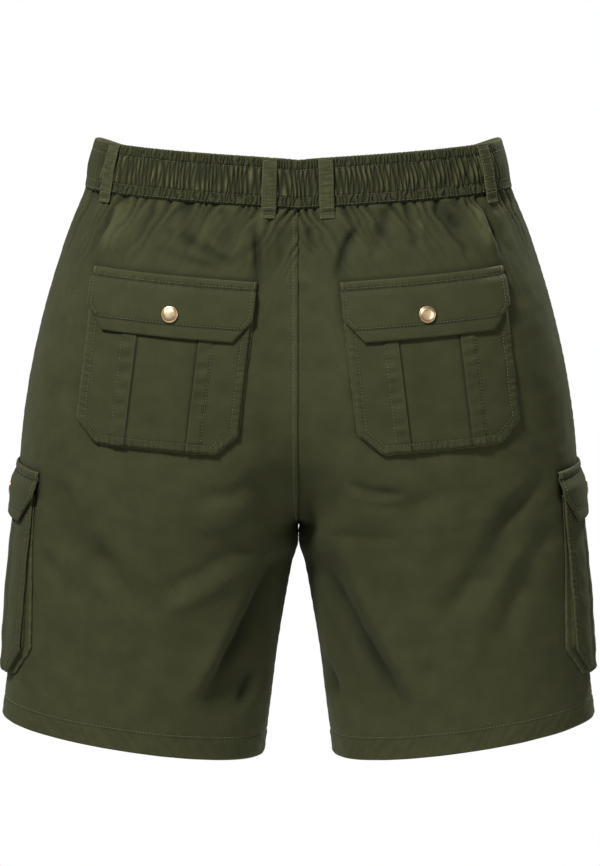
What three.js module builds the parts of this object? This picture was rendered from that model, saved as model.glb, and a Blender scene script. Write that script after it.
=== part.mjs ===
// Knee-length cargo shorts in cotton twill, filled out as they are worn, with no wearer.
// Millimetres, +Z up. The front faces -Y and the back +Y, and the wearer's left is +X.
// The origin is the middle of the waist opening, level with the middle of the waistband at the side seams.
//
// Each leg is a tube of two panels, a front and a back. A panel runs from its inner edge (the centre seam,
// then the inseam) to the side seam. Everything sewn on a panel is made from its surface, moved out.

import * as THREE from "three";
import { mergeVertices } from "three/addons/utils/BufferGeometryUtils.js";

// Driving sizes
const seamGap = 0.3;
const sheetGap = 0.6; // between two sheets that lie on each other, which their flat facets narrow
const twill = 1.4; // one panel's wall
const hemHeight = 21;
const hemThickness = 2.8; // the cloth, folded up twice
const loopWidth = 13;
const snapRadius = 7.5;
const flapThickness = 1.6;

// Sections of the left leg, from the top of the waistband to the hem.
// side: the side seam. seamX: the inner edge. back and front X, Y: the fullest point behind and in front.
// turn: degrees from straight across, at which a section leaves the inner edge. full: how square it is.
const columns = ["sideX", "sideZ", "seamX", "backSeamY", "backSeamZ", "backX", "backY",
  "frontSeamY", "frontSeamZ", "frontX", "frontY", "turn", "full"];
const sections = [
  [180, 22.5, 0, 86, 11.5, 40, 87, -84, -12, 40, -85, 0, 0.57], // waistband, top
  [186, 0.5, 0, 87, -10, 42, 88, -85, -32, 42, -86, 0, 0.57],
  [189.5, -20.5, 0, 88.5, -31.5, 45, 90, -87, -52, 45, -88, 0, 0.58], // waistband, bottom
  [198, -42, 0, 95, -56, 50, 97, -91, -72, 50, -92, 0, 0.6],
  [207.8, -67, 0, 103, -84, 55, 106, -96, -96, 55, -98, 0, 0.62],
  [224.7, -121, 0, 115, -141, 62, 119, -103, -148, 60, -106, 0, 0.64],
  [237.8, -175, 0, 118, -198, 68, 124, -103, -200, 66, -109, 2, 0.64],
  [246.2, -225, 0, 107, -246, 76, 124, -92, -247, 74, -108, 10, 0.63],
  [250, -262, 0, 80, -284, 88, 121, -66, -284, 84, -105, 28, 0.62],
  [252, -290, 0.15, 42, -311, 100, 117, -33, -311, 96, -102, 56, 0.62],
  [253.5, -312, 0.3, 0, -327, 112, 113, 0, -327, 108, -99, 84, 0.62], // crotch
  [254.7, -330, 0.6, 0, -342, 118, 110, 0, -342, 114, -97, 90, 0.62],
  [255.7, -348, 6, 0, -361, 124, 107, 0, -361, 120, -95, 90, 0.62],
  [257.5, -375, 11.5, 0, -390, 130, 102, 0, -390, 127, -93, 90, 0.61],
  [260, -420, 19.5, 0, -439, 138, 97, 0, -439, 136, -91, 90, 0.6],
  [263.5, -463, 26, 0, -491, 146, 93, 0, -491, 144, -89, 90, 0.58],
  [268, -500.5, 31.5, 0, -536, 151, 91, 0, -536, 149, -88, 90, 0.56], // hem
];
const bandBottom = 2; // the row above that ends the waistband
const bandSeam = seamGap / 2 / 21; // half the seam under it, where a row is about 21 mm tall
const rise = { back: 0.8, front: 3 }; // how the height of a section climbs from the seam to the side
const riseEnd = 10; // the row by which it climbs evenly
const hemLevel = sections.length - 1;

// The largest folds, as straight lines on the back and front seen square on. Depth is below the cloth, so a
// ridge is negative. hand is 1 on the wearer's left and -1 on the right.
const foldColumns = ["hand", "x0", "z0", "x1", "z1", "halfWidth", "depth"];
const backFolds = [
  [1, 134, -28, 176, -74, 7, -1.8], // from the band to the pocket's outer corner
  [1, 118, -26, 142, -74, 6, 1.6],
  [1, 97, -26, 99, -70, 6, 1.8],
  [1, 84, -26, 58, -76, 6, 1.6],
  [1, 37, -46, 33, -104, 5, 2], // from the belt loop to the pocket's inner corner
  [-1, 144, -28, 176, -74, 7, -1.8],
  [-1, 119, -26, 155, -74, 6, 1.8],
  [-1, 99, -24, 102, -70, 5, 1.6],
  [-1, 79, -24, 66, -74, 6, 1.5],
  [-1, 46, -38, 34, -100, 6, 2],
  [1, 2, -316, 80, -500, 15, 8], // under the seat, from the crotch to the hem
  [-1, 4, -318, 94, -500, 15, 8],
  [1, 226, -262, 166, -362, 13, 2.8],
  [-1, 204, -276, 150, -370, 16, 3],
];
const frontFolds = [
  [1, 14, -286, 128, -232, 11, 3],
  [-1, 16, -284, 134, -240, 11, 3],
  [1, 20, -322, 148, -290, 12, 2.8],
  [-1, 18, -320, 140, -284, 12, 2.8],
  [1, 4, -326, 72, -496, 14, 6],
  [-1, 3, -324, 80, -498, 14, 6],
];

// Waistband: elastic gathers it at the back, and it is flat in front
const bandInside = -2.2;
const bandOutside = 1;
const tabThickness = 2.4;
const gatherCount = 100;
const gatherHeight = 1.3;
const gatherEnd = 0.88; // share of the way from the centre back to the side seam
const gatherStitched = 0.45; // share of their height left at the band's edges
const frontBandSteps = 14;
const tabSteps = 2; // how many of them the left end reaches over the right one
const waistSnapX = 13; // on the wearer's right
const waistSnapZ = -32;

// Back pocket, flap and bellows, as flat sizes across and down from the middle of the flap's top.
// standOff is the room under the face, and flapLift the room under the flap, both as [place down it, height].
// pull is the share of its width by which the bellows draws in the face at its foot.
const backPocket = {
  width: 140, mouth: 15, height: 152, chamfer: 17.5, chamferDrop: 17.5, pull: 0,
  flapWidth: 143, flapHeight: 53.5, flapChamfer: 15.7, flapDrop: 19.5, snapDrop: 34,
  pleatHalf: 26.2, pleatFlange: 12.8, pleatHeight: 1.1,
  standOff: [[0, 2.1], [152, 3.6]],
  flapLift: [[0, 0.8], [6, 1.8], [13, 5.2], [53.5, 6.1]],
  bellowsInset: 1,
  bellowsSection: [[-6, 0], [3, 0], [3, 0.5], [0, 0.62], [0, 1], [-6, 1]], // across, and share of the room
};
const backPocketX = 107.5;
const backPocketZ = -87.8;
const backPocketTilt = 4.2; // degrees, its outer end up
const backPocketLean = 6.9; // degrees, its foot outwards

// Cargo pocket on the side seam, the larger part of it in front
const cargoPocket = {
  width: 156, mouth: 17, height: 190, chamfer: 24, chamferDrop: 25, pull: 0.14,
  flapWidth: 168, flapHeight: 49, flapChamfer: 22, flapDrop: 27, snapDrop: 29,
  pleatHalf: 30, pleatFlange: 13, pleatHeight: 0.9,
  standOff: [[0, 2.1], [45, 2.3], [110, 5.4], [145, 6.2], [190, 5.7]],
  flapLift: [[0, 0.7], [7, 1.4], [17, 5.2], [28, 5.8], [49, 6.4]],
  bellowsInset: 3,
  bellowsSection: [
    [-8, 0], [4, 0], [4, 0.28], [1, 0.32], [-1.4, 0.5], [1, 0.68], [1, 1], [-8, 1],
    [-8, 0.74], [-1, 0.7], [-3.2, 0.5], [-1, 0.3], [-8, 0.26],
  ],
};
const cargoPocketZ = -267;
const cargoForward = 14;
const pleatEdge = 1.2; // how far a pleat's fold takes to rise, on either pocket

// Belt loops: x is how far from the centre each one's top is, seen square on
const loopColumns = ["name", "hand", "x", "side"];
const beltLoops = [
  ["belt_loop_back_left", 1, 25, "back"],
  ["belt_loop_back_right", -1, 24, "back"],
  ["belt_loop_side_left", 1, 160, "back"],
  ["belt_loop_side_right", -1, 160, "back"],
  ["belt_loop_front_left", 1, 98, "front"],
  ["belt_loop_front_right", -1, 98, "front"],
];
// How far out a loop stands, as [place down it, height]
const loopLift = [[0, 2.9], [10, 3.4], [22, 3.6], [34, 3.4], [44.8, 3], [48, 0.9], [53, 0.7]];
const loopWall = 1.5;

const cloth = new THREE.MeshStandardMaterial({ color: 0x42432e, roughness: 0.92, metalness: 0 });
const brass = new THREE.MeshStandardMaterial({ color: 0xd9b384, roughness: 0.3, metalness: 1 });

const named = (keys, rows) => rows.map((row) => Object.fromEntries(keys.map((key, i) => [key, row[i]])));
const mix = (a, b, t) => a + (b - a) * t;
const smooth = (t) => t * t * (3 - 2 * t);
const clamp01 = (t) => Math.min(1, Math.max(0, t));

// A value from a table of [place, value] pairs
function along(pairs, place) {
  const next = pairs.findIndex(([at]) => at >= place);
  if (next <= 0) return next === 0 ? pairs[0][1] : pairs.at(-1)[1];
  const [[a, from], [b, to]] = [pairs[next - 1], pairs[next]];
  return mix(from, to, (place - a) / (b - a));
}

// The slope through the middle of three values that keeps the curve from passing either neighbour
function steadySlope(before, here, after) {
  const [a, b] = [here - before, after - here];
  return a * b <= 0 ? 0 : Math.sign(a) * Math.min(Math.abs(a + b) / 2, 2 * Math.abs(a), 2 * Math.abs(b));
}

// One row of the section table at any level, eased through the rows
function sectionAt(level) {
  const i = Math.min(Math.floor(level), hemLevel - 1);
  const t = level - i;
  const row = {};
  columns.forEach((key, c) => {
    const from = sections[i][c];
    const to = sections[i + 1][c];
    const before = i > 0 ? sections[i - 1][c] : 2 * from - to;
    const after = i + 2 <= hemLevel ? sections[i + 2][c] : 2 * to - from;
    const [leave, arrive] = [steadySlope(before, from, to), steadySlope(from, to, after)];
    const bend = t * (1 - t) * (leave * (1 - t) - arrive * t);
    row[key] = mix(from, to, smooth(t)) + bend;
  });
  return row;
}

const arcSteps = 24;

// The section of a panel at a level, from its inner edge to the side seam, with the length at each point
function sectionLine(side, level) {
  const row = sectionAt(level);
  const seam = new THREE.Vector2(row.seamX, row[side + "SeamY"]);
  const fullest = new THREE.Vector2(row[side + "X"], row[side + "Y"]);
  const edge = new THREE.Vector2(row.sideX, 0);
  const outward = side === "back" ? 1 : -1;
  const turn = THREE.MathUtils.degToRad(row.turn);
  const wide = fullest.x - seam.x;
  const deep = Math.abs(fullest.y - seam.y);
  const reach = row.full * (wide * Math.cos(turn) + deep * Math.sin(turn));
  const inner = new THREE.CubicBezierCurve(
    seam,
    new THREE.Vector2(seam.x + reach * Math.cos(turn), seam.y + outward * reach * Math.sin(turn)),
    new THREE.Vector2(fullest.x - row.full * wide, fullest.y),
    fullest,
  );
  const outer = new THREE.CubicBezierCurve(
    fullest,
    new THREE.Vector2(mix(fullest.x, edge.x, row.full), fullest.y),
    new THREE.Vector2(edge.x, fullest.y * row.full),
    edge,
  );
  const flat = [...inner.getPoints(arcSteps), ...outer.getPoints(arcSteps).slice(1)];
  const seamZ = row[side + "SeamZ"];
  const power = mix(rise[side], 1, smooth(clamp01(level / riseEnd)));
  const points = flat.map(({ x, y }) =>
    new THREE.Vector3(x, y, mix(seamZ, row.sideZ, clamp01((x - seam.x) / (edge.x - seam.x)) ** power)));
  const lengths = [0];
  for (let i = 1; i < points.length; i++) lengths.push(lengths[i - 1] + points[i].distanceTo(points[i - 1]));
  return { points, lengths, total: lengths.at(-1) };
}

const lineCache = new Map();
function cachedLine(side, level) {
  const key = side + level.toFixed(5);
  if (!lineCache.has(key)) lineCache.set(key, sectionLine(side, level));
  return lineCache.get(key);
}

// A point of the left leg's smooth form, share of the way from the inner edge to the side seam
function formPoint(side, share, level) {
  const { points, lengths, total } = cachedLine(side, level);
  const place = clamp01(share) * total;
  const next = Math.max(1, lengths.findIndex((length) => length >= place - 1e-9));
  const t = (place - lengths[next - 1]) / (lengths[next] - lengths[next - 1]);
  return points[next - 1].clone().lerp(points[next], t);
}

function formNormal(side, share, level) {
  const [du, dv] = [0.012, 0.04];
  const [u0, u1] = [Math.max(0, share - du), Math.min(1, share + du)];
  const [v0, v1] = [Math.max(0, level - dv), Math.min(hemLevel, level + dv)];
  const across = formPoint(side, u1, level).sub(formPoint(side, u0, level));
  if (share === 1) across.set(0, side === "back" ? -1 : 1, 0);
  const down = formPoint(side, share, v1).sub(formPoint(side, share, v0));
  const out = side === "back" ? across.cross(down) : down.cross(across);
  return out.normalize();
}

// How far a fold sinks the cloth at a place seen square on
function foldDepth(folds, hand, x, z) {
  let depth = 0;
  for (const fold of folds) {
    if (fold.hand !== hand) continue;
    const [dx, dz] = [fold.x1 - fold.x0, fold.z1 - fold.z0];
    const t = ((x - fold.x0) * dx + (z - fold.z0) * dz) / (dx * dx + dz * dz);
    const away = Math.hypot(x - fold.x0 - t * dx, z - fold.z0 - t * dz) / fold.halfWidth;
    const taper = smooth(clamp01(4 * t)) * smooth(clamp01(4 * (1 - t)));
    depth += fold.depth * taper * Math.exp(-away * away);
  }
  return depth;
}

const folds = { back: named(foldColumns, backFolds), front: named(foldColumns, frontFolds) };

// A point out from the cloth of either leg, folds included
function clothPoint(side, hand, share, level, out) {
  const point = formPoint(side, share, level);
  const calm = smooth(clamp01(share * 12)) * smooth(clamp01((1 - share) * 8)); // folds die out at the seams
  const lift = out - calm * foldDepth(folds[side], hand, point.x, point.z);
  point.addScaledVector(formNormal(side, share, level), lift);
  return point.setX(point.x * hand);
}

// The height of a section line at an x, and the share of its length there
function lineAtX(line, x) {
  const { points, lengths, total } = line;
  const next = Math.max(1, points.findIndex((point) => point.x >= x));
  const [from, to] = [points[next - 1], points[next]];
  const t = clamp01((x - from.x) / (to.x - from.x));
  return { z: mix(from.z, to.z, t), share: mix(lengths[next - 1], lengths[next], t) / total };
}

// The share and level at which the form has this x and z, seen square on
function locate(side, x, z) {
  let [low, high] = [0, hemLevel];
  while (high - low > 1e-4) {
    const level = (low + high) / 2;
    if (lineAtX(cachedLine(side, level), x).z > z) low = level;
    else high = level;
  }
  return { share: lineAtX(cachedLine(side, low), x).share, level: low };
}

// Levels down a line of the form, by the length along it
function columnFrom(side, share, level, longest) {
  const step = 0.02;
  const pairs = [[0, level]];
  let [length, at] = [0, formPoint(side, share, level)];
  for (let v = level + step; v < hemLevel && length < longest; v += step) {
    const next = formPoint(side, share, v);
    length += next.distanceTo(at);
    at = next;
    pairs.push([length, v]);
  }
  return pairs;
}

// A flat patch laid square on one side of a leg: across is towards the side seam, and down is from its top
function patchOnPanel(side, hand, x, z, tilt, lean) {
  const [a, b] = [THREE.MathUtils.degToRad(tilt), THREE.MathUtils.degToRad(lean)];
  return (across, down, out) => {
    const placeX = x + across * Math.cos(a) + down * Math.sin(b);
    const placeZ = z + across * Math.sin(a) - down * Math.cos(b);
    const { share, level } = locate(side, placeX, placeZ);
    return clothPoint(side, hand, share, level, out);
  };
}

// A patch laid over the side seam: across is towards the back
function patchOnSideSeam(hand, z, forward, longest) {
  const column = columnFrom("back", 1, levelOfSideZ(z), longest);
  return (across, down, out) => {
    const v = along(column, down);
    const place = across - forward;
    const side = place > 0 ? "back" : "front";
    return clothPoint(side, hand, 1 - Math.abs(place) / cachedLine(side, v).total, v, out);
  };
}

// The level at which the side seam has this height
function levelOfSideZ(z) {
  let [low, high] = [0, hemLevel];
  for (let i = 0; i < 40; i++) {
    const level = (low + high) / 2;
    if (sectionAt(level).sideZ > z) low = level;
    else high = level;
  }
  return low;
}

// A closed mesh whose faces point out, from a geometry whose points are moved by a function
function shaped(name, geometry, place, material = cloth) {
  geometry.deleteAttribute("uv");
  geometry.deleteAttribute("normal");
  const merged = mergeVertices(geometry, 1e-5);
  const position = merged.attributes.position;
  const point = new THREE.Vector3();
  for (let i = 0; i < position.count; i++) {
    point.fromBufferAttribute(position, i);
    position.setXYZ(i, ...place(point.x, point.y, point.z));
  }
  const index = merged.index.array;
  const [a, b, c] = [new THREE.Vector3(), new THREE.Vector3(), new THREE.Vector3()];
  let volume = 0;
  for (let i = 0; i < index.length; i += 3) {
    a.fromBufferAttribute(position, index[i]);
    b.fromBufferAttribute(position, index[i + 1]);
    c.fromBufferAttribute(position, index[i + 2]);
    volume += a.dot(b.cross(c));
  }
  if (volume < 0)
    for (let i = 0; i < index.length; i += 3) [index[i + 1], index[i + 2]] = [index[i + 2], index[i + 1]];
  merged.computeVertexNormals();
  const mesh = new THREE.Mesh(merged, material);
  mesh.name = name;
  return mesh;
}

// A wall of cloth. place(across 0 to 1, down 0 to 1, outer 0 or 1) gives a point of it.
// A box cuts the squares of its last side the other way, so they are cut again to match the outer side's:
// where a fold twists a square, two different cuts would cross inside so thin a wall.
function wall(name, acrossSteps, downSteps, place) {
  const box = new THREE.BoxGeometry(1, 1, 1, acrossSteps, downSteps, 1);
  const index = box.index.array;
  for (let i = index.length - 6 * acrossSteps * downSteps; i < index.length; i += 6) {
    const [a, b, d, , c] = index.slice(i, i + 6);
    index.set([a, b, c, a, c, d], i);
  }
  return shaped(name, box, (x, y, z) => place(x + 0.5, 0.5 - y, z + 0.5));
}

// The panel's rows: even down to the hem, whose top edge is a step in the cloth's inside
function panelLevels(steps) {
  const hemTop = levelOfSideZ(sectionAt(hemLevel).sideZ + hemHeight);
  const even = Array.from({ length: steps }, (_, i) => mix(bandBottom + bandSeam, hemTop, i / (steps - 1)));
  return [...even, hemTop + 0.03, hemLevel];
}

function panel(name, side, hand, acrossSteps, downSteps) {
  const levels = panelLevels(downSteps);
  return wall(name, acrossSteps, levels.length - 1, (across, down, outer) => {
    const row = Math.round(down * (levels.length - 1));
    const level = levels[row];
    const trim = seamGap / 2 / cachedLine(side, level).total;
    const thickness = row >= levels.length - 2 ? hemThickness : twill;
    return clothPoint(side, hand, mix(trim, 1 - trim, across), level, outer ? 0 : -thickness);
  });
}

// How far the gathers stand out of the elastic band, place being -1 to 1 from side seam to side seam
function gather(place) {
  const fade = smooth(clamp01((gatherEnd - Math.abs(place)) * 12));
  return fade * gatherHeight * (0.5 + 0.5 * Math.cos(place * gatherCount * Math.PI));
}

function backBand() {
  const stepsPerGather = 2;
  const rows = 2;
  return wall("waistband_back", gatherCount * stepsPerGather, rows, (across, down, outer) => {
    const place = mix(-1, 1, across);
    const level = mix(0, bandBottom - bandSeam, down);
    const trim = seamGap / 2 / cachedLine("back", level).total;
    const swell = down === 0 || down === 1 ? gatherStitched : 1;
    const out = outer ? bandOutside + swell * gather(place) : bandInside;
    return clothPoint("back", place < 0 ? -1 : 1, Math.abs(place) * (1 - trim), level, out);
  });
}

// The two front ends of the band: the left one reaches over the right one as a tab, and the snap closes it
function frontBand(name, hand) {
  const over = hand > 0 ? tabSteps : 0;
  return wall(name, frontBandSteps + over, 2, (across, down, outer) => {
    const place = mix(-over / frontBandSteps, 1, across);
    const level = mix(0, bandBottom - bandSeam, down);
    const trim = seamGap / 2 / cachedLine("front", level).total;
    const onTab = over && place < 0.5 / frontBandSteps;
    const inside = onTab ? bandOutside + sheetGap : bandInside;
    const outside = onTab ? bandOutside + sheetGap + tabThickness : bandOutside;
    const share = over ? Math.abs(place) * (1 - trim) : mix(trim, 1 - trim, place);
    return clothPoint("front", place < 0 ? -hand : hand, share, level, outer ? outside : inside);
  });
}

function beltLoop({ name, hand, x, side }) {
  const { share } = lineAtX(cachedLine(side, 0), x);
  const column = columnFrom(side, share, 0, loopLift.at(-1)[0]);
  return wall(name, 2, loopLift.length - 1, (across, down, outer) => {
    const [below, lift] = loopLift[Math.round(down * (loopLift.length - 1))];
    const level = along(column, below);
    const place = share + ((across - 0.5) * loopWidth) / cachedLine(side, level).total;
    return clothPoint(side, hand, place, level, lift + (outer ? loopWall : 0));
  });
}

// Half the width of a pocket or flap with cut corners
function halfWidth(width, height, chamfer, drop, down) {
  return width / 2 - chamfer * clamp01((down - height + drop) / drop);
}

// The share of its width that a pocket's face keeps, down it
function drawnIn(pocket, down) {
  return 1 - pocket.pull * clamp01((down - pocket.flapHeight) / (pocket.height - pocket.flapHeight));
}

// Places down a pocket or flap with a row at the start of its cut corners
function rowsDown(from, height, drop, steps) {
  const straight = height - drop;
  return (t) => {
    const bend = (steps - 2) / steps;
    return t < bend + 1e-6 ? mix(from, straight, t / bend) : mix(straight, height, (t - bend) / (1 - bend));
  };
}

function pocketFace(name, pocket, patch) {
  const { pleatHalf, pleatFlange } = pocket;
  const half = pocket.width / 2;
  const pleatEnd = pleatHalf + pleatFlange;
  const onPleat = [pleatEnd, pleatHalf + pleatEdge, pleatHalf];
  const stops = [half, (half + pleatEnd) / 2 + 3, pleatEnd + 6, ...onPleat, pleatHalf / 2];
  const acrossPlaces = [...stops.map((x) => -x), 0, ...stops.reverse()];
  const downSteps = 9;
  const rowAt = rowsDown(pocket.mouth, pocket.height, pocket.chamferDrop, downSteps);
  return wall(name, acrossPlaces.length - 1, downSteps, (across, down, outer) => {
    const x = acrossPlaces[Math.round(across * (acrossPlaces.length - 1))];
    const y = rowAt(down);
    const cut = halfWidth(pocket.width, pocket.height, pocket.chamfer, pocket.chamferDrop, y) / half;
    const squeeze = cut * drawnIn(pocket, y);
    // A pleat is three layers thick
    const folded = outer && Math.abs(x) > pleatHalf && Math.abs(x) <= pleatEnd;
    const out = along(pocket.standOff, y) + (folded ? pocket.pleatHeight : 0) + (outer ? twill : 0);
    return patch(x * squeeze, y, out);
  });
}

function pocketFlap(name, pocket, patch) {
  const downSteps = 7;
  const rowAt = rowsDown(0, pocket.flapHeight, pocket.flapDrop, downSteps);
  return wall(name, 10, downSteps, (across, down, outer) => {
    const y = rowAt(down);
    const half = halfWidth(pocket.flapWidth, pocket.flapHeight, pocket.flapChamfer, pocket.flapDrop, y);
    return patch(mix(-half, half, across), y, along(pocket.flapLift, y) + (outer ? flapThickness : 0));
  });
}

// The bellows between a pocket's face and the panel: a strip sewn round three sides, folded in on itself.
// Its foot keeps the pocket's full width on the panel where it draws in the face.
function pocketBellows(name, pocket, patch) {
  const half = pocket.width / 2 - pocket.bellowsInset;
  const bottom = pocket.height - pocket.bellowsInset;
  const [corner, drop] = [pocket.chamfer, pocket.chamferDrop];
  const outline = [[half, pocket.mouth + 4], [half, bottom - drop], [half - corner, bottom]];
  const corners = [...outline, ...outline.map(([x, y]) => [-x, y]).reverse()];
  const path = [corners[0]];
  for (let i = 1; i < corners.length; i++) {
    const [[x0, y0], [x1, y1]] = [corners[i - 1], corners[i]];
    const steps = Math.round(Math.abs(x1 - x0) / 12 + Math.abs(y1 - y0) / 30);
    for (let k = 1; k <= steps; k++) path.push([mix(x0, x1, k / steps), mix(y0, y1, k / steps)]);
  }
  const facing = path.map(([x, y], i) => {
    const [px, py] = path[Math.max(0, i - 1)];
    const [nx, ny] = path[Math.min(path.length - 1, i + 1)];
    return new THREE.Vector2(ny - py, px - nx).normalize();
  });
  // The section runs outwards, and up as a share of the room under the face
  const shape = new THREE.Shape(pocket.bellowsSection.map(([x, y]) => new THREE.Vector2(x, y)));
  const strip = new THREE.ExtrudeGeometry(shape, { depth: 1, steps: path.length - 1, bevelEnabled: false });
  return shaped(name, strip, (w, h, z) => {
    const i = Math.round(z * (path.length - 1));
    const x = path[i][0] * mix(1, drawnIn(pocket, path[i][1]), h) + w * facing[i].x;
    const y = path[i][1] + w * facing[i].y;
    return patch(x, y, mix(sheetGap, along(pocket.standOff, y) - 1.6 * sheetGap, h));
  });
}

// A pressed brass cap on a patch, square to the cloth there. outAt gives that cloth's height, down the patch.
function snapCap(name, patch, down, outAt) {
  const surface = (across, below) => patch(across, below, outAt(below));
  const base = surface(0, down);
  const across = surface(snapRadius, down).sub(surface(-snapRadius, down));
  const axis = across.cross(surface(0, down + snapRadius).sub(surface(0, down - snapRadius))).normalize();
  if (axis.dot(patch(0, down, outAt(down) + 5).sub(base)) < 0) axis.negate();
  const profile = [[0, 0], [6.6, 0], [snapRadius, 0.6], [7.1, 1.5], [4.6, 2], [0, 2.2]];
  const lathe = new THREE.LatheGeometry(profile.map(([x, y]) => new THREE.Vector2(x, y)), 12);
  const mesh = shaped(name, lathe, (x, y, z) => [x, y, z], brass);
  mesh.position.copy(base.addScaledVector(axis, seamGap));
  mesh.quaternion.setFromUnitVectors(new THREE.Vector3(0, 1, 0), axis);
  return mesh;
}

// A pocket with its bellows, flap and snap
function pocketParts(prefix, suffix, pocket, patch) {
  const flapTop = (down) => along(pocket.flapLift, down) + flapThickness;
  return [
    pocketBellows(`${prefix}_bellows_${suffix}`, pocket, patch),
    pocketFace(`${prefix}_${suffix}`, pocket, patch),
    pocketFlap(`${prefix}_flap_${suffix}`, pocket, patch),
    snapCap(`${prefix}_snap_${suffix}`, patch, pocket.snapDrop, flapTop),
  ];
}

const shorts = new THREE.Group();
for (const [suffix, hand] of [["left", 1], ["right", -1]]) {
  shorts.add(panel(`back_panel_${suffix}`, "back", hand, 24, 20));
  shorts.add(panel(`front_panel_${suffix}`, "front", hand, 18, 18));
  shorts.add(frontBand(`waistband_front_${suffix}`, hand));
  const onBack = patchOnPanel("back", hand, backPocketX, backPocketZ, backPocketTilt, backPocketLean);
  shorts.add(...pocketParts("back_pocket", suffix, backPocket, onBack));
  const onSide = patchOnSideSeam(hand, cargoPocketZ, cargoForward, cargoPocket.height + 2 * snapRadius);
  shorts.add(...pocketParts("cargo_pocket", suffix, cargoPocket, onSide));
}
shorts.add(backBand());
for (const loop of named(loopColumns, beltLoops)) shorts.add(beltLoop(loop));
const onTab = patchOnPanel("front", -1, waistSnapX, waistSnapZ, 0, 0);
shorts.add(snapCap("waist_snap", onTab, 0, () => bandOutside + sheetGap + tabThickness));

export default shorts;
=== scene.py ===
import math

import bmesh
import bpy
import numpy as np
from mathutils import Matrix, Vector


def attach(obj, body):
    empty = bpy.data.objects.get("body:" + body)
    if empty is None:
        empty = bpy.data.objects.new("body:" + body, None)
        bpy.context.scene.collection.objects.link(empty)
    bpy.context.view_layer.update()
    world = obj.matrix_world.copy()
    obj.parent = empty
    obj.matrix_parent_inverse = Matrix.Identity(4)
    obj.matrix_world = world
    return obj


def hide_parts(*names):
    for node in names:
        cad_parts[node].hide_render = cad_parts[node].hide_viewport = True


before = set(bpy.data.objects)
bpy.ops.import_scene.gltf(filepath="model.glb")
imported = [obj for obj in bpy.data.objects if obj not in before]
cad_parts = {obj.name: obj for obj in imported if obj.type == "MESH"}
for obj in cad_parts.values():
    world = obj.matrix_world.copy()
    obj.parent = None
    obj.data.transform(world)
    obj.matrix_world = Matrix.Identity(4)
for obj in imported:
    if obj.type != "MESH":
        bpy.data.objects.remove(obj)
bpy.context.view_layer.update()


# Leg panels
# Four pieces of washed cotton twill, a back and a front for each leg, sewn together down the middle of the body,
# inside each leg and down its side. The hem is turned up twice and sewn. Lengths are in mm on the garment.

# Sections of the left leg, from the band's top to the hem: the side seam, the inner edge, the fullest point
# behind and in front, the angle at which a section leaves the inner edge, and how square its arcs are.
section_columns = ("side_x side_z seam_x back_seam_y back_seam_z back_x back_y "
                   "front_seam_y front_seam_z front_x front_y turn full").split()
leg_sections = np.array([
    [180, 22.5, 0, 86, 11.5, 40, 87, -84, -12, 40, -85, 0, 0.57],
    [186, 0.5, 0, 87, -10, 42, 88, -85, -32, 42, -86, 0, 0.57],
    [189.5, -20.5, 0, 88.5, -31.5, 45, 90, -87, -52, 45, -88, 0, 0.58],
    [198, -42, 0, 95, -56, 50, 97, -91, -72, 50, -92, 0, 0.6],
    [207.8, -67, 0, 103, -84, 55, 106, -96, -96, 55, -98, 0, 0.62],
    [224.7, -121, 0, 115, -141, 62, 119, -103, -148, 60, -106, 0, 0.64],
    [237.8, -175, 0, 118, -198, 68, 124, -103, -200, 66, -109, 2, 0.64],
    [246.2, -225, 0, 107, -246, 76, 124, -92, -247, 74, -108, 10, 0.63],
    [250, -262, 0, 80, -284, 88, 121, -66, -284, 84, -105, 28, 0.62],
    [252, -290, 0.15, 42, -311, 100, 117, -33, -311, 96, -102, 56, 0.62],
    [253.5, -312, 0.3, 0, -327, 112, 113, 0, -327, 108, -99, 84, 0.62],
    [254.7, -330, 0.6, 0, -342, 118, 110, 0, -342, 114, -97, 90, 0.62],
    [255.7, -348, 6, 0, -361, 124, 107, 0, -361, 120, -95, 90, 0.62],
    [257.5, -375, 11.5, 0, -390, 130, 102, 0, -390, 127, -93, 90, 0.61],
    [260, -420, 19.5, 0, -439, 138, 97, 0, -439, 136, -91, 90, 0.6],
    [263.5, -463, 26, 0, -491, 146, 93, 0, -491, 144, -89, 90, 0.58],
    [268, -500.5, 31.5, 0, -536, 151, 91, 0, -536, 149, -88, 90, 0.56],
])
hem_level = len(leg_sections) - 1
band_bottom = 2
seam_gap = 0.3
band_seam = seam_gap / 2 / 21
twill_wall = 1.4
hem_wall = 2.8
hem_height = 21
height_climb = {"back": 0.8, "front": 3}
climb_end = 10


def smooth(t):
    t = np.clip(t, 0, 1)
    return t * t * (3 - 2 * t)


def mix(a, b, t):
    return a + (b - a) * t


def steady_slope(before, here, after):
    """The slope through a row that keeps the curve from passing the rows beside it."""
    a, b = here - before, after - here
    least = np.minimum(np.minimum(abs(a + b) / 2, 2 * abs(a)), 2 * abs(b))
    return np.where(a * b <= 0, 0, np.sign(a) * least)


def section_at(level):
    """The section's sizes at any levels, eased from row to row."""
    rows = np.vstack([2 * leg_sections[0] - leg_sections[1], leg_sections, 2 * leg_sections[-1] - leg_sections[-2]])
    i = np.minimum(level.astype(int), hem_level - 1)
    t = (level - i)[:, None]
    before, here, after, last = (rows[i + k] for k in range(4))
    leave, arrive = steady_slope(before, here, after), steady_slope(here, after, last)
    value = mix(here, after, smooth(t)) + t * (1 - t) * (leave * (1 - t) - arrive * t)
    return dict(zip(section_columns, value.T))


def section_arc(ends, steps):
    """Points along an arc given by its two ends and the two handles between them."""
    t = np.linspace(0, 1, steps)[None, :]
    weights = ((1 - t) ** 3, 3 * t * (1 - t) ** 2, 3 * t * t * (1 - t), t ** 3)
    return [sum(w * np.asarray(point[axis])[:, None] for w, point in zip(weights, ends)) for axis in (0, 1)]


rows_per_level = 64
share_count = 385


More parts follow.
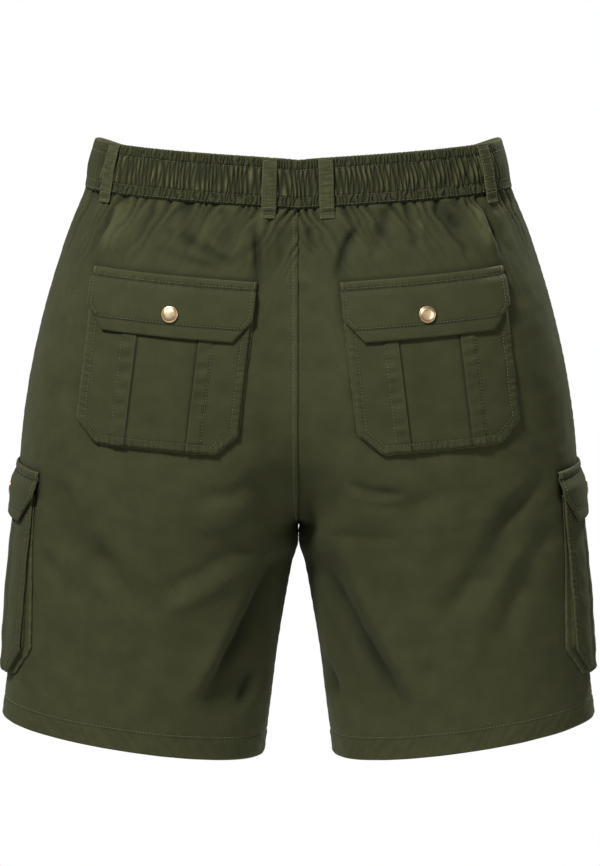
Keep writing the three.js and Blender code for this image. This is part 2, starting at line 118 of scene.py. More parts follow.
def leg_form(side):
    """The smooth form of one side of the left leg, as a table by level and by share of the way round it."""
    level = np.arange(hem_level * rows_per_level + 1) / rows_per_level
    row = section_at(level)
    seam_y, full_x, full_y = row[side + "_seam_y"], row[side + "_x"], row[side + "_y"]
    outward = 1 if side == "back" else -1
    turn = np.radians(row["turn"])
    wide, deep = full_x - row["seam_x"], abs(full_y - seam_y)
    reach = row["full"] * (wide * np.cos(turn) + deep * np.sin(turn))
    seam, fullest, edge = (row["seam_x"], seam_y), (full_x, full_y), (row["side_x"], 0 * full_x)
    leave = (row["seam_x"] + reach * np.cos(turn), seam_y + outward * reach * np.sin(turn))
    inner = section_arc((seam, leave, (full_x - row["full"] * wide, full_y), fullest), 97)
    outer = section_arc((fullest, (mix(full_x, row["side_x"], row["full"]), full_y),
                         (row["side_x"], full_y * row["full"]), edge), 97)
    x, y = (np.hstack([a, b[:, 1:]]) for a, b in zip(inner, outer))
    power = mix(height_climb[side], 1, smooth(level / climb_end))[:, None]
    climb = np.clip((x - seam[0][:, None]) / (edge[0] - seam[0])[:, None], 0, 1) ** power
    z = mix(row[side + "_seam_z"][:, None], row["side_z"][:, None], climb)
    line = np.stack([x, y, z], axis=2)
    length = np.concatenate([np.zeros((len(level), 1)),
                             np.cumsum(np.linalg.norm(np.diff(line, axis=1), axis=2), axis=1)], axis=1)
    total = length[:, -1]
    share = np.linspace(0, 1, share_count)
    place = np.array([[np.interp(share * total[i], length[i], line[i, :, axis]) for axis in range(3)]
                      for i in range(len(level))]).transpose(0, 2, 1)
    columns, rows = np.arange(share_count), np.arange(len(level))
    reach_across = np.minimum(np.minimum(5, columns), share_count - 1 - columns)
    reach_across[0] = 1
    across = (place[:, np.minimum(columns + np.maximum(reach_across, 0), share_count - 1)]
              - place[:, np.maximum(columns - reach_across, 0)])
    across[:, -1] = (0, -outward, 0)
    down = place[np.minimum(rows + 3, len(level) - 1)] - place[np.maximum(rows - 3, 0)]
    normal = np.cross(across, down) * outward
    normal /= np.linalg.norm(normal, axis=2, keepdims=True)
    return {"place": place, "normal": normal, "total": total, "level": level}


forms = {side: leg_form(side) for side in ("back", "front")}


def from_table(table, share, level):
    """A value of a table by level and share, between its entries."""
    a = np.clip(share, 0, 1) * (share_count - 1)
    b = np.clip(level, 0, hem_level) * rows_per_level
    i = np.minimum(b.astype(int), len(table) - 2)
    j = np.minimum(a.astype(int), share_count - 2)
    s, t = (a - j)[:, None], (b - i)[:, None]
    return mix(mix(table[i, j], table[i, j + 1], s), mix(table[i + 1, j], table[i + 1, j + 1], s), t)


def total_at(side, level):
    return np.interp(level, forms[side]["level"], forms[side]["total"])


# The largest folds: hand, both ends seen square on, half width and depth. A ridge is negative.
main_folds = {
    "back": [
        [1, 134, -28, 176, -74, 7, -1.8], [1, 118, -26, 142, -74, 6, 1.6], [1, 97, -26, 99, -70, 6, 1.8],
        [1, 84, -26, 58, -76, 6, 1.6], [1, 37, -46, 33, -104, 5, 2],
        [-1, 144, -28, 176, -74, 7, -1.8], [-1, 119, -26, 155, -74, 6, 1.8], [-1, 99, -24, 102, -70, 5, 1.6],
        [-1, 79, -24, 66, -74, 6, 1.5], [-1, 46, -38, 34, -100, 6, 2],
        [1, 2, -316, 80, -500, 15, 8], [-1, 4, -318, 94, -500, 15, 8],
        [1, 226, -262, 166, -362, 13, 2.8], [-1, 204, -276, 150, -370, 16, 3],
    ],
    "front": [
        [1, 14, -286, 128, -232, 11, 3], [-1, 16, -284, 134, -240, 11, 3],
        [1, 20, -322, 148, -290, 12, 2.8], [-1, 18, -320, 140, -284, 12, 2.8],
        [1, 4, -326, 72, -496, 14, 6], [-1, 3, -324, 80, -498, 14, 6],
    ],
}


def fold_depth(side, hand, x, z):
    depth = np.zeros_like(x)
    for which, x0, z0, x1, z1, half_width, deep in main_folds[side]:
        if which == hand:
            dx, dz = x1 - x0, z1 - z0
            t = ((x - x0) * dx + (z - z0) * dz) / (dx * dx + dz * dz)
            away = np.hypot(x - x0 - t * dx, z - z0 - t * dz) / half_width
            depth += deep * smooth(4 * t) * smooth(4 * (1 - t)) * np.exp(-away * away)
    return depth


def on_cloth(side, hand, share, level, out):
    """Points out from the cloth of either leg, with the way that it faces there."""
    place = from_table(forms[side]["place"], share, level)
    normal = from_table(forms[side]["normal"], share, level)
    normal /= np.linalg.norm(normal, axis=1, keepdims=True)
    calm = smooth(share * 12) * smooth((1 - share) * 8)
    lift = out - calm * fold_depth(side, hand, place[:, 0], place[:, 2])
    mirror = np.array([hand, 1, 1])
    return (place + normal * lift[:, None]) * mirror, normal * mirror


def uneven(seed, size, *places):
    """Irregular soft waves of about one size, from -1 to 1."""
    chance = np.random.default_rng(seed)
    total = 0
    for _ in range(7):
        turn = chance.normal(size=len(places))
        turn /= np.linalg.norm(turn)
        wave = size * chance.uniform(0.7, 1.5)
        total = total + np.sin(2 * np.pi * (sum(p * t for p, t in zip(places, turn)) / wave + chance.uniform()))
    return np.clip(total / 3.2, -1, 1)


def bump_at(distance, half_width):
    return np.exp(-(distance / half_width) ** 2)


# Smaller creases on each side: hand, half width, depth, and the places that each one passes, seen square on
creases = {
    "back": [
        [1, 4, 1.1, (102, -50), (84, -66), (56, -80)],
        [1, 4, 0.9, (82, -60), (68, -72), (50, -78)],
        [1, 4, 0.8, (124, -64), (92, -76), (52, -83)],
        [1, 2.6, 1.6, (38, -38), (36, -66), (33, -104)],
        [1, 5, -1.2, (150, -26), (166, -50), (182, -76)],
        [1, 4, 1.3, (161, -30), (172, -52), (190, -80)],
        [1, 5, 1.0, (69, -28), (62, -46), (60, -70)],
        [1, 4, 0.9, (18, -44), (15, -62), (17, -88)],
        [1, 9, -2.6, (26, -348), (72, -428), (108, -486)],
        [1, 5, 2.0, (6, -340), (48, -418), (88, -482)],
        [1, 5, 1.9, (38, -446), (46, -470), (56, -488)],
        [1, 10, 2.0, (190, -318), (154, -366), (126, -398)],
        [1, 7, -1.2, (204, -330), (168, -376), (140, -412)],
        [1, 10, 2.4, (27, -318), (78, -349), (134, -378)],
        [1, 8, -1.2, (50, -352), (92, -376), (138, -396)],
        [1, 9, 1.5, (18, -266), (60, -280), (106, -288)],
        [1, 7, 1.4, (232, -336), (222, -352), (208, -372)],
        [1, 11, 1.3, (150, -420), (146, -450), (158, -492)],
        [1, 8, 1.0, (206, -400), (196, -440), (202, -486)],
        [-1, 2.8, 1.5, (54, -44), (40, -66), (35, -92)],
        [-1, 5, 1.0, (82, -26), (77, -42), (74, -58)],
        [-1, 5, -0.9, (103, -24), (107, -42), (110, -60)],
        [-1, 5, 0.9, (127, -26), (138, -42), (150, -62)],
        [-1, 3.4, 1.7, (161, -32), (174, -56), (182, -82)],
        [-1, 5, -1.2, (150, -28), (164, -48), (172, -70)],
        [-1, 4, 1.0, (8, -44), (10, -57), (13, -76)],
        [-1, 9, -2.6, (32, -352), (80, -428), (118, -488)],
        [-1, 5, 2.0, (10, -344), (58, -426), (100, -484)],
        [-1, 5, 1.8, (22, -440), (30, -464), (38, -486)],
        [-1, 9, 2.2, (229, -264), (192, -302), (164, -350)],
        [-1, 9, 1.9, (164, -346), (142, -378), (120, -414)],
        [-1, 8, -1.3, (206, -318), (176, -366), (152, -408)],
        [-1, 10, 2.3, (228, -312), (204, -358), (160, -458)],
        [-1, 5, 1.3, (42, -270), (70, -278), (102, -279)],
        [-1, 6, 1.3, (50, -287), (76, -292), (102, -290)],
        [-1, 13, 1.8, (70, -310), (112, -288), (160, -260)],
        [-1, 12, 1.3, (6, -262), (48, -334), (72, -396)],
        [-1, 10, 1.2, (110, -430), (124, -462), (126, -498)],
    ],
    "front": [
        [1, 6, 1.5, (10, -262), (58, -240), (116, -214)],
        [-1, 6, 1.4, (12, -258), (52, -232), (104, -204)],
        [1, 7, 1.6, (8, -306), (64, -286), (128, -262)],
        [-1, 7, 1.7, (8, -308), (70, -288), (136, -266)],
        [1, 9, -1.6, (30, -340), (74, -420), (100, -490)],
        [-1, 9, -1.6, (28, -338), (72, -424), (104, -492)],
        [1, 8, 1.6, (222, -330), (186, -368), (140, -396)],
        [-1, 8, 1.7, (226, -322), (186, -360), (136, -384)],
        [1, 9, 1.3, (70, -60), (78, -110), (74, -170)],
        [-1, 9, 1.2, (64, -62), (70, -104), (80, -160)],
        [1, 7, 1.0, (150, -50), (142, -88), (148, -130)],
        [-1, 7, 1.1, (146, -48), (140, -92), (150, -136)],
        [1, 9, 1.3, (160, -410), (152, -450), (166, -496)],
        [-1, 9, 1.2, (150, -404), (160, -446), (158, -494)],
    ],
}


def crease_depth(side, hand, x, z):
    """How far the smaller creases sink the cloth, deepest a little before the middle of each, and how sharply."""
    depth, furrow = np.zeros_like(x), np.zeros_like(x)
    for number, (which, half_width, deep, *points) in enumerate(creases[side]):
        if which != hand:
            continue
        t = np.linspace(0, 1, 9)[:, None]
        start, middle, end = (np.array(p, float) for p in points)
        line = (1 - t) ** 2 * start + 2 * t * (1 - t) * (2 * middle - (start + end) / 2) + t * t * end
        nearest, along, way = np.full(len(x), 1e9), np.zeros(len(x)), np.zeros(len(x))
        for k in range(8):
            (ax, az), (dx, dz) = line[k], line[k + 1] - line[k]
            s = np.clip(((x - ax) * dx + (z - az) * dz) / (dx * dx + dz * dz), 0, 1)
            ox, oz = x - ax - s * dx, z - az - s * dz
            away = np.hypot(ox, oz)
            closer = away < nearest
            nearest = np.where(closer, away, nearest)
            along = np.where(closer, (k + s) / 8, along)
            way = np.where(closer, np.sign(ox * dz - oz * dx), way)
        swell = smooth(4 * along) * smooth(2.4 * (1 - along)) * (1 + 0.25 * np.sin(9 * along + number))
        sharp = half_width < 6
        trough = np.exp(-(nearest / half_width) ** (1.4 if sharp else 2))
        shoulder = 0.3 * bump_at(nearest - 1.9 * half_width, 1.3 * half_width) * (0.5 + 0.5 * way)
        depth += (2.6 if sharp else 1.4) * deep * swell * (trough - shoulder)
        furrow += sharp * deep * swell * trough
    return depth, furrow


back_pocket_x, back_pocket_z = 107.5, -87.8
back_pocket_tilt, back_pocket_lean = math.radians(4.2), math.radians(6.9)
cargo_pocket_z, cargo_pocket_forward = -267, 14
side_line = forms["back"]["place"][:, -1]
side_length = np.concatenate([[0], np.cumsum(np.linalg.norm(np.diff(side_line, axis=0), axis=1))])
side_level = forms["back"]["level"]
cargo_pocket_start = np.interp(-cargo_pocket_z, -side_line[:, 2], side_length)


def from_outline(across, down, half, height, chamfer, drop):
    """The distance in from a pocket's or flap's sides, cut corners and foot."""
    corner = ((half - abs(across)) * drop + (height - down) * chamfer - chamfer * drop) / math.hypot(chamfer, drop)
    return np.minimum(np.minimum(half - abs(across), height - down), corner)


# The face and the flap of each pocket on the panels: half width, height, cut corner and how far down that reaches
pocket_outlines = {
    "back": ((70, 152, 17.5, 17.5), (71.5, 53.5, 15.7, 19.5)),
    "cargo": ((78, 190, 24, 25), (84, 49, 22, 27)),
}


def beside_pocket(kind, across, down, narrow=1):
    """How close the cloth is to a pocket's edge, from 1 at the edge to 0 well outside, for the painted shadow beside
    the edge.
    """
    face, flap = pocket_outlines[kind]
    inside = np.maximum(from_outline(across / narrow, down, *face), from_outline(across, down, *flap))
    return np.exp(np.minimum(np.minimum(inside, down), 0) / 2)


def under_pockets(side, x, z, share, level):
    """1 where a pocket lies on the panel, falling to 0 around it, and how close its edge is."""
    beside, below = x - back_pocket_x, back_pocket_z - z
    down = (below * math.cos(back_pocket_tilt) + beside * math.sin(back_pocket_tilt)) / math.cos(
        back_pocket_tilt - back_pocket_lean)
    across = (beside - down * math.sin(back_pocket_lean)) / math.cos(back_pocket_tilt)
    back = smooth((77 - abs(across)) / 5) * smooth((down + 5) / 5) * smooth((159 - down) / 5) * (side == "back")
    close = beside_pocket("back", across, down) * (side == "back")
    beyond = (1 - share) * total_at(side, level)
    across = cargo_pocket_forward + (beyond if side == "back" else -beyond)
    down = np.interp(level, side_level, side_length) - cargo_pocket_start
    cargo = smooth((88 - abs(across)) / 5) * smooth((down + 5) / 5) * smooth((199 - down) / 5)
    narrow = 1 - 0.14 * np.clip((down - 49) / 141, 0, 1)
    return np.maximum(back, cargo), np.maximum(close, beside_pocket("cargo", across, down, narrow))


def panel_relief(side, hand, share, level, x, z):
    """How far the finer shapes stand out of a panel's main form, how its colour is lightened by wear and painted
    highlight and darkened by painted shade there, and how puckered it is.
    """
    seed = 10 * (side == "back") + 100 * (hand > 0)
    total = total_at(side, level)
    from_inner, from_side = share * total, (1 - share) * total
    down = np.interp(level, side_level, side_length) - np.interp(band_bottom, side_level, side_length)
    above_hem = side_length[-1] - np.interp(level, side_level, side_length)
    covered, close = under_pockets(side, x, z, share, level)
    calm = smooth(share * 14) * smooth((1 - share) * 12)

    soft = 0.55 * uneven(seed + 1, 66, from_side, down) + 0.2 * uneven(seed + 2, 24, from_side, down)
    creased, furrow = crease_depth(side, hand, x, z)
    out = (soft - creased) * calm
    out = np.where(out > 0, out * (1 - covered), out)

    gathered = (1.0 if side == "back" else 0.3) * smooth((1 - share) * 8)
    reach = 26 + 20 * uneven(seed + 3, 34, from_side)
    phase = from_side / 11.5 + 0.6 * uneven(seed + 4, 40, from_side) + 0.25 * uneven(seed + 12, 26, from_side, down)
    folds = 2 * abs(np.cos(np.pi * phase)) ** 0.8 - 1.3
    folds = gathered * folds * np.exp(-down / np.maximum(reach, 6)) * smooth(down / 2.5 + 0.35) * (1 - covered)
    out += 2.4 * folds
    fine = uneven(seed + 5, 5.2, from_side, down * 0.25)
    out += gathered * 0.8 * fine * np.exp(-down / 6)

    felled = side == "back"
    raised = hand > 0 or z < -330
    ridge = np.zeros_like(x)
    for away, tall, salt in ((from_inner, 0.4 * raised, 6), (from_side, 0.4 * felled, 7)):
        strip = smooth((6.2 - away) / 1.4) * smooth(away / 0.9 + 0.2)
        pucker = uneven(seed + salt, 8.5, down + away * 0.7, away * 0.15)
        out += tall * strip + 0.2 * pucker * smooth((10 - away) / 7) * smooth(away / 3)
        out -= 0.35 * bump_at(away - 4.6, 0.9) * (tall > 0) + 0.7 * bump_at(away, 0.9)
        ridge = np.maximum(ridge, strip * (tall > 0))

    at_hem = smooth((24 - above_hem) / 5)
    rope = np.sin(2 * np.pi * ((from_side + above_hem * 0.8) / 10.5 + 0.5 * uneven(seed + 8, 46, from_side)))
    roping = (0.13 * rope + 0.16 * uneven(seed + 9, 9, from_side + above_hem * 0.6, above_hem)) * smooth(above_hem / 3)
    out += roping * smooth((18.5 - above_hem) / 3) + 0.3 * smooth((18 - above_hem) / 2)
    out -= 0.4 * bump_at(above_hem - 18, 1.1) + 0.5 * bump_at(above_hem, 0.8)

    # Colour: lighter with wear on the seam ridges and at the hem; painted highlight on the gathers' ridges; painted
    # shade in the gathers' furrows, the creases and main folds, the seam and hem stitch grooves, the line under the
    # band, a band beside each pocket's edge, and over the top of the seat.
    wear_and_shade = 0.12 * ridge + 0.6 * bump_at(above_hem, 1.2) + 0.1 * at_hem * (0.5 + 0.5 * rope)
    wear_and_shade -= 0.5 * bump_at(above_hem - 17, 0.9) + 0.4 * bump_at(down, 1.5) * gathered
    wear_and_shade += 0.75 * (folds - 0.2 * gathered * np.exp(-down / 30)) - 0.42 * furrow - 0.15 * np.clip(fold_depth(side, hand, x, z), -2, 2)
    wear_and_shade -= 0.55 * bump_at(np.minimum(from_inner, from_side), 0.7) + 1.0 * close + 0.2 * smooth((110 - down) / 90)
    puckers = np.maximum(np.maximum(smooth((11 - from_inner) / 8), smooth((11 - from_side) / 8)), at_hem)
    puckers = np.maximum(puckers, gathered * np.exp(-down / 16))
    return out, wear_and_shade, puckers


def srgb(code):
    """A colour's sRGB hex code, as linear light."""
    channels = [int(code[k:k + 2], 16) / 255 for k in (1, 3, 5)]
    return [c / 12.92 if c <= 0.04045 else ((c + 0.055) / 1.055) ** 2.4 for c in channels] + [1]


def add_node(material, kind, settings=None, **inputs):
    """Adds a node. A value that is another node's socket is linked, and anything else is set."""
    node = material.node_tree.nodes.new(kind)
    for name, value in (settings or {}).items():
        setattr(node, name, value)
    for name, value in inputs.items():
        socket = node.inputs[int(name[1:])] if name[1:].isdigit() else node.inputs[name.replace("_", " ")]
        if isinstance(value, bpy.types.NodeSocket):
            material.node_tree.links.new(value, socket)
        else:
            socket.default_value = value
    return node


# Washed cotton twill, garment dyed: its dye is a little uneven, its nap takes the light softly with hardly any
# gloss, and washing has faded it where several layers make an edge stand up.
# Its colour also carries painted highlight on ridges, and painted shade in creases, furrows, seam and stitch grooves
# and beside pockets.
twill = bpy.data.materials.new("washed_cotton_twill")
twill.use_nodes = True
twill.node_tree.nodes.clear()
cloth_place = add_node(twill, "ShaderNodeUVMap", {"uv_map": "cloth"}).outputs["UV"]
# The wales of the twill are 0.5 mm apart in the real cloth, and drawn 1.3 mm apart so that they show
wales = add_node(twill, "ShaderNodeTexWave", {"bands_direction": "DIAGONAL"}, Vector=cloth_place,
                 Scale=0.444 / 1.3, Distortion=0.6, Detail=2.0, Detail_Scale=1.5).outputs["Fac"]
yarn_place = add_node(twill, "ShaderNodeMapping", None, Vector=cloth_place, Scale=(1.4, 0.25, 1)).outputs[0]
yarns = add_node(twill, "ShaderNodeTexNoise", None, Vector=yarn_place, Scale=1.0, Detail=2.0).outputs["Fac"]
nap = add_node(twill, "ShaderNodeTexNoise", None, Vector=cloth_place, Scale=0.9, Detail=3.0).outputs["Fac"]
dye_patches = add_node(twill, "ShaderNodeTexNoise", None, Vector=cloth_place, Scale=0.045, Detail=4.0,
                       Roughness=0.6).outputs["Fac"]
fine_creases = add_node(twill, "ShaderNodeTexNoise", None, Vector=cloth_place, Scale=0.28, Detail=3.0,
                        Distortion=0.8).outputs["Fac"]
wear_and_shade = add_node(twill, "ShaderNodeAttribute", {"attribute_name": "wear_and_shade"}).outputs["Fac"]
puckers = add_node(twill, "ShaderNodeAttribute", {"attribute_name": "puckers"}).outputs["Fac"]
dye = add_node(twill, "ShaderNodeValToRGB", None, Fac=dye_patches)
dye.color_ramp.elements[0].position, dye.color_ramp.elements[0].color = 0.3, srgb("#373923")
dye.color_ramp.elements[1].position, dye.color_ramp.elements[1].color = 0.7, srgb("#3f4129")
threads = add_node(twill, "ShaderNodeMix", {"data_type": "RGBA", "blend_type": "MULTIPLY"}, _0=0.22,
                   _6=dye.outputs[0], _7=wales)
flecks = add_node(twill, "ShaderNodeMix", {"data_type": "RGBA", "blend_type": "OVERLAY"}, _0=0.3,
                  _6=threads.outputs[2], _7=nap)
# Lighter towards a worn colour: real wear at edges and folds, and painted highlight on the tops of gathers, puckers and
# ridges.
wear_and_highlight = add_node(twill, "ShaderNodeMapRange", None, Value=wear_and_shade, From_Min=0.0, From_Max=1.0, To_Min=0.0, To_Max=0.42)
wear_and_light = add_node(twill, "ShaderNodeMix", {"data_type": "RGBA"}, _0=wear_and_highlight.outputs[0], _6=flecks.outputs[2],
                 _7=srgb("#6c6e4e"))
# Darker towards near-black: painted shade in creases, furrows, seam and stitch grooves, pleat folds, gussets, beside
# pockets, and under the band and flap ridges.
painted_shade = add_node(twill, "ShaderNodeMapRange", None, Value=wear_and_shade, From_Min=0.0, From_Max=-1.0, To_Min=0.0,
                  To_Max=0.8)
coloured = add_node(twill, "ShaderNodeMix", {"data_type": "RGBA"}, _0=painted_shade.outputs[0], _6=wear_and_light.outputs[2],
                    _7=srgb("#1d1f14"))
gloss = add_node(twill, "ShaderNodeMapRange", None, Value=yarns, To_Min=0.82, To_Max=0.96)
weave_height = add_node(twill, "ShaderNodeMath", {"operation": "ADD"}, _0=wales, _1=yarns)
weave = add_node(twill, "ShaderNodeBump", None, Strength=0.35, Distance=0.0002, Height=weave_height.outputs[0])
pucker_strength = add_node(twill, "ShaderNodeMapRange", None, Value=puckers, To_Min=0.12, To_Max=0.5)
creased = add_node(twill, "ShaderNodeBump", None, Strength=pucker_strength.outputs[0], Distance=0.0012,
                   Height=fine_creases, Normal=weave.outputs[0])
cloth_shader = add_node(twill, "ShaderNodeBsdfPrincipled", None, Base_Color=coloured.outputs[2],
                        Roughness=gloss.outputs[0], Normal=creased.outputs[0], IOR=1.5)
cloth_shader.inputs["Specular IOR Level"].default_value = 0.12
cloth_shader.inputs["Sheen Weight"].default_value = 0.04
cloth_shader.inputs["Sheen Roughness"].default_value = 0.5
cloth_shader.inputs["Sheen Tint"].default_value = srgb("#c9cca8")
add_node(twill, "ShaderNodeOutputMaterial", None, Surface=cloth_shader.outputs[0])


def make_object(name, mesh, material):
    piece = bpy.data.objects.new(name, mesh)
    bpy.context.scene.collection.objects.link(piece)
    mesh.materials.append(material)
    mesh.shade_smooth()
    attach(piece, "root")
    return piece


def cloth_grid(name, across, down, place, wall=twill_wall, closed=False):
    """A sheet of cloth: a grid of lines across and down, whose points are moved to their place on the garment.
    place gives points, the way out, the flat place of the cloth, its wear with painted highlight and shade, and
    puckers."""
    bm = bmesh.new()
    bmesh.ops.create_grid(bm, x_segments=len(across) - 1, y_segments=len(down) - 1, size=0.5)
    mesh = bpy.data.meshes.new(name)
    bm.to_mesh(mesh)
    bm.free()
    flat = np.empty(len(mesh.vertices) * 3)
    mesh.vertices.foreach_get("co", flat)
    flat = flat.reshape(-1, 3)
    low, high = flat.min(axis=0), flat.max(axis=0)
    column = np.rint((flat[:, 0] - low[0]) / (high[0] - low[0]) * (len(across) - 1)).astype(int)
    row = np.rint((high[1] - flat[:, 1]) / (high[1] - low[1]) * (len(down) - 1)).astype(int)
    points, way_out, cloth_uv, wear_and_light, puckered = place(np.asarray(across)[column], np.asarray(down)[row])
    mesh.vertices.foreach_set("co", (points * 0.001).ravel())
    corner = np.empty(len(mesh.loops), int)
    mesh.loops.foreach_get("vertex_index", corner)
    mesh.uv_layers.new(name="cloth").data.foreach_set("uv", cloth_uv[corner].ravel())
    for label, values in (("wear_and_shade", wear_and_light), ("puckers", puckered)):
        mesh.attributes.new(label, "FLOAT", "POINT").data.foreach_set("value", values.astype(np.float32))
    mesh.update()
    facing = np.empty(len(mesh.polygons) * 3)
    mesh.polygons.foreach_get("normal", facing)
    first = np.empty(len(mesh.polygons), int)
    mesh.polygons.foreach_get("loop_start", first)
    if (facing.reshape(-1, 3) * way_out[corner[first]]).sum() < 0:
        mesh.flip_normals()
    piece = make_object(name, mesh, twill)
    if closed:
        bm = bmesh.new()
        bm.from_mesh(mesh)
        bmesh.ops.remove_doubles(bm, verts=bm.verts, dist=1e-6)
        bmesh.ops.holes_fill(bm, edges=bm.edges, sides=0)
        bmesh.ops.recalc_face_normals(bm, faces=bm.faces)
        bm.to_mesh(mesh)
        bm.free()
        mesh.shade_smooth()
    else:
        shell = piece.modifiers.new("wall", "SOLIDIFY")
        shell.thickness, shell.offset = wall * 0.001, -1
    return piece


def steps(*stops):
    """Positions of lines, closer where the stops say. Each stop is a position and how many lines reach it."""
    lines = [stops[0][0]]
    for (start, _), (end, count) in zip(stops, stops[1:]):
        lines.extend(np.linspace(start, end, count + 1)[1:])
    return np.array(lines)


hem_top = np.interp(side_length[-1] - hem_height, side_length, side_level)
panel_top = band_bottom - 0.7 * band_seam
seam_lap = 0.3
panel_counts = {"back": (14, 122, 14, 18, 196, 15), "front": (10, 84, 10, 12, 142, 12)}


def panel(side, hand):
    inner, middle, outer, top, body, hem = panel_counts[side]
    across = steps((0, 0), (0.055, inner), (0.945, middle), (1, outer))
    down = steps((panel_top, 0), (panel_top + 1.2, top), (hem_top - 0.05, body), (hem_level, hem))

    def place(t, level):
        total = total_at(side, level)
        smooth_place = from_table(forms[side]["place"], t, level)
        out, wear_and_light, puckered = panel_relief(side, hand, t, level, smooth_place[:, 0], smooth_place[:, 2])
        points, way_out = on_cloth(side, hand, t, level, out)
        centre = (t == 0) & (level < 10)
        points[:, 0] = np.where(centre, -seam_lap * hand, points[:, 0])
        points[:, 1] -= seam_lap * (1 if side == "back" else -1) * ((t == 1) | ((t == 0) & ~centre))
        length = np.interp(level, side_level, side_length)
        return points, way_out, np.stack([(1 - t) * total, -length], axis=1), wear_and_light, puckered

    label = "left" if hand > 0 else "right"
    piece = cloth_grid(f"{side}_panel_{label}_cloth", across, down, place)
    hem_rows = piece.vertex_groups.new(name="hem")
    heights = np.array([v.co.z for v in piece.data.vertices])
    flat = np.array([0.0] * (2 * len(piece.data.loops)))
    piece.data.uv_layers["cloth"].data.foreach_get("uv", flat)
    corner = np.empty(len(piece.data.loops), int)
    piece.data.loops.foreach_get("vertex_index", corner)
    below = np.zeros(len(heights))
    below[corner] = -flat[1::2]
    hem_rows.add([int(i) for i in np.nonzero(below > side_length[-1] - 18)[0]], 1, "REPLACE")
    shell = piece.modifiers["wall"]
    shell.thickness = hem_wall * 0.001
    shell.vertex_group, shell.thickness_vertex_group = "hem", twill_wall / hem_wall
    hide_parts(f"{side}_panel_{label}")
    return piece


for hand in (1, -1):
    for side in ("back", "front"):
        panel(side, hand)


# Waistband
# A folded band of the same twill. Elastic inside it gathers the whole back, held by rows of stitching that pull
# the cloth into fine puckers above, between and below them. The front is flat, and its left end is a tab.

band_inside, band_outside = -2.2, 1
tab_thickness, sheet_gap = 2.4, 0.6
gather_end = 0.88
band_tall = 42


def ridges(place, pitch, seed, drift=0.0):
    """Uneven upright ridges with narrow furrows between them, from 0 to 1, at about one pitch."""
    wander = 0.5 * uneven(seed, 6 * pitch, place)
    return abs(np.cos(np.pi * (place / pitch + wander + drift))) 


def band_section(count):
    """Rows round the band's section, from its outer lower edge over the top to the inside and back:
    how far down it is, and how far through, from outside at 1 to inside at 0."""
    down = steps((1, 0), (0.94, 4), (0.81, 5), (0.75, 4), (0.23, 14), (0.17, 4), (0, 6))
    return ([(d, 1.0) for d in down] + [(-0.006, 0.5)] + [(d, 0.0) for d in np.linspace(0, 1, count)]
            + [(1.004, 0.5), (1.0, 1.0)])


def gathered_height(along, v):
    """How far the elastic's puckers stand out, v from 0 at the band's top to 1 at its seam."""
    upper = ridges(along, 3.4, 31, 0.3 * uneven(36, 9, along, v * band_tall))
    lean = 0.9 * (v - 0.5)
    bent = 0.16 * uneven(40, 30, along, v * band_tall)
    left, right = ridges(along, 4.7, 32, lean + bent), ridges(along, 5.6, 33, bent - lean)
    middle = np.minimum(left, right + 0.25) * (0.75 + 0.25 * uneven(34, 12, along, v * 18))
    lower = ridges(along, 4.3, 35, 0.35 * uneven(37, 10, along, v * band_tall))
    top_zone, low_zone = smooth((0.23 - v) / 0.06), smooth((v - 0.74) / 0.08)
    height = 3.5 * middle * (1 - top_zone) * (1 - low_zone) + 1.9 * upper * top_zone + 1.9 * lower * low_zone
    pulled = bump_at(v - 0.2, 0.02) + bump_at(v - 0.78, 0.018) * 0.8 + bump_at(v - 0.985, 0.03)
    return height * (1 - 0.6 * smooth((v - 0.95) / 0.05)) - 0.8 * np.clip(pulled, 0, 1)


def back_band():
    section = band_section(9)

    def place(t, number):
        v, through = (np.array(section)[number.astype(int), k] for k in (0, 1))
        level = np.clip(v, 0, 1) * (band_bottom - band_seam)
        share = abs(t)
        hand = np.where(t < 0, -1, 1)
        along = t * 236
        fade = smooth((gather_end - abs(t)) * 12)
        fade = fade + 0.25 * (1 - fade) * (t > 0)
        height = gathered_height(along, v) * fade + (1 - fade) * (0.2 + 0.25 * uneven(38, 22, along, v * 9))
        inner = band_inside + 0.35 * ridges(along, 5.3, 39) * fade
        out = np.where(through > 0.75, band_outside + height, np.where(through < 0.25, inner, -0.4 + 0.3 * height))
        round_top = 0.9 * np.exp(-np.clip(v, 0, 1) * band_tall / 1.1)
        out = out - np.where(through > 0.75, round_top, -0.5 * round_top * (through < 0.25))
        points, way_out = np.empty((len(t), 3)), np.empty((len(t), 3))
        for side_hand in (1, -1):
            mine = hand == side_hand
            points[mine], way_out[mine] = on_cloth("back", side_hand, share[mine], level[mine], out[mine])
        points[:, 2] += np.where(through == 0.5, np.where(v < 0.5, 0.5, -0.1), 0) + 0.25 * height * (v < 0.03)
        # Lighter with wear at the folded top edge; painted highlight on the puckers' tops, and painted shade in their
        # furrows, along the stitch rows and at the seam.
        wear_and_light = (0.3 * np.exp(-np.clip(v, 0, 1) * band_tall / 1.2) + 0.6 * (height - 2.0) * fade
                 - 0.4 * bump_at(v - 0.2, 0.02) * fade - 0.4 * bump_at(v - 0.995, 0.02) - 0.3 * bump_at(v - 0.78, 0.018))
        wear_and_light = np.where(through > 0.4, wear_and_light, 0)
        cloth_uv = np.stack([along * 1.3, -(v * band_tall + (through < 0.4) * 3)], axis=1)
        return points, way_out * np.where(through < 0.25, -1, 1)[:, None], cloth_uv, wear_and_light, np.ones(len(t))

    piece = cloth_grid("waistband_back_cloth", np.linspace(-1, 1, 961), np.arange(len(section)), place, closed=True)
    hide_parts("waistband_back")


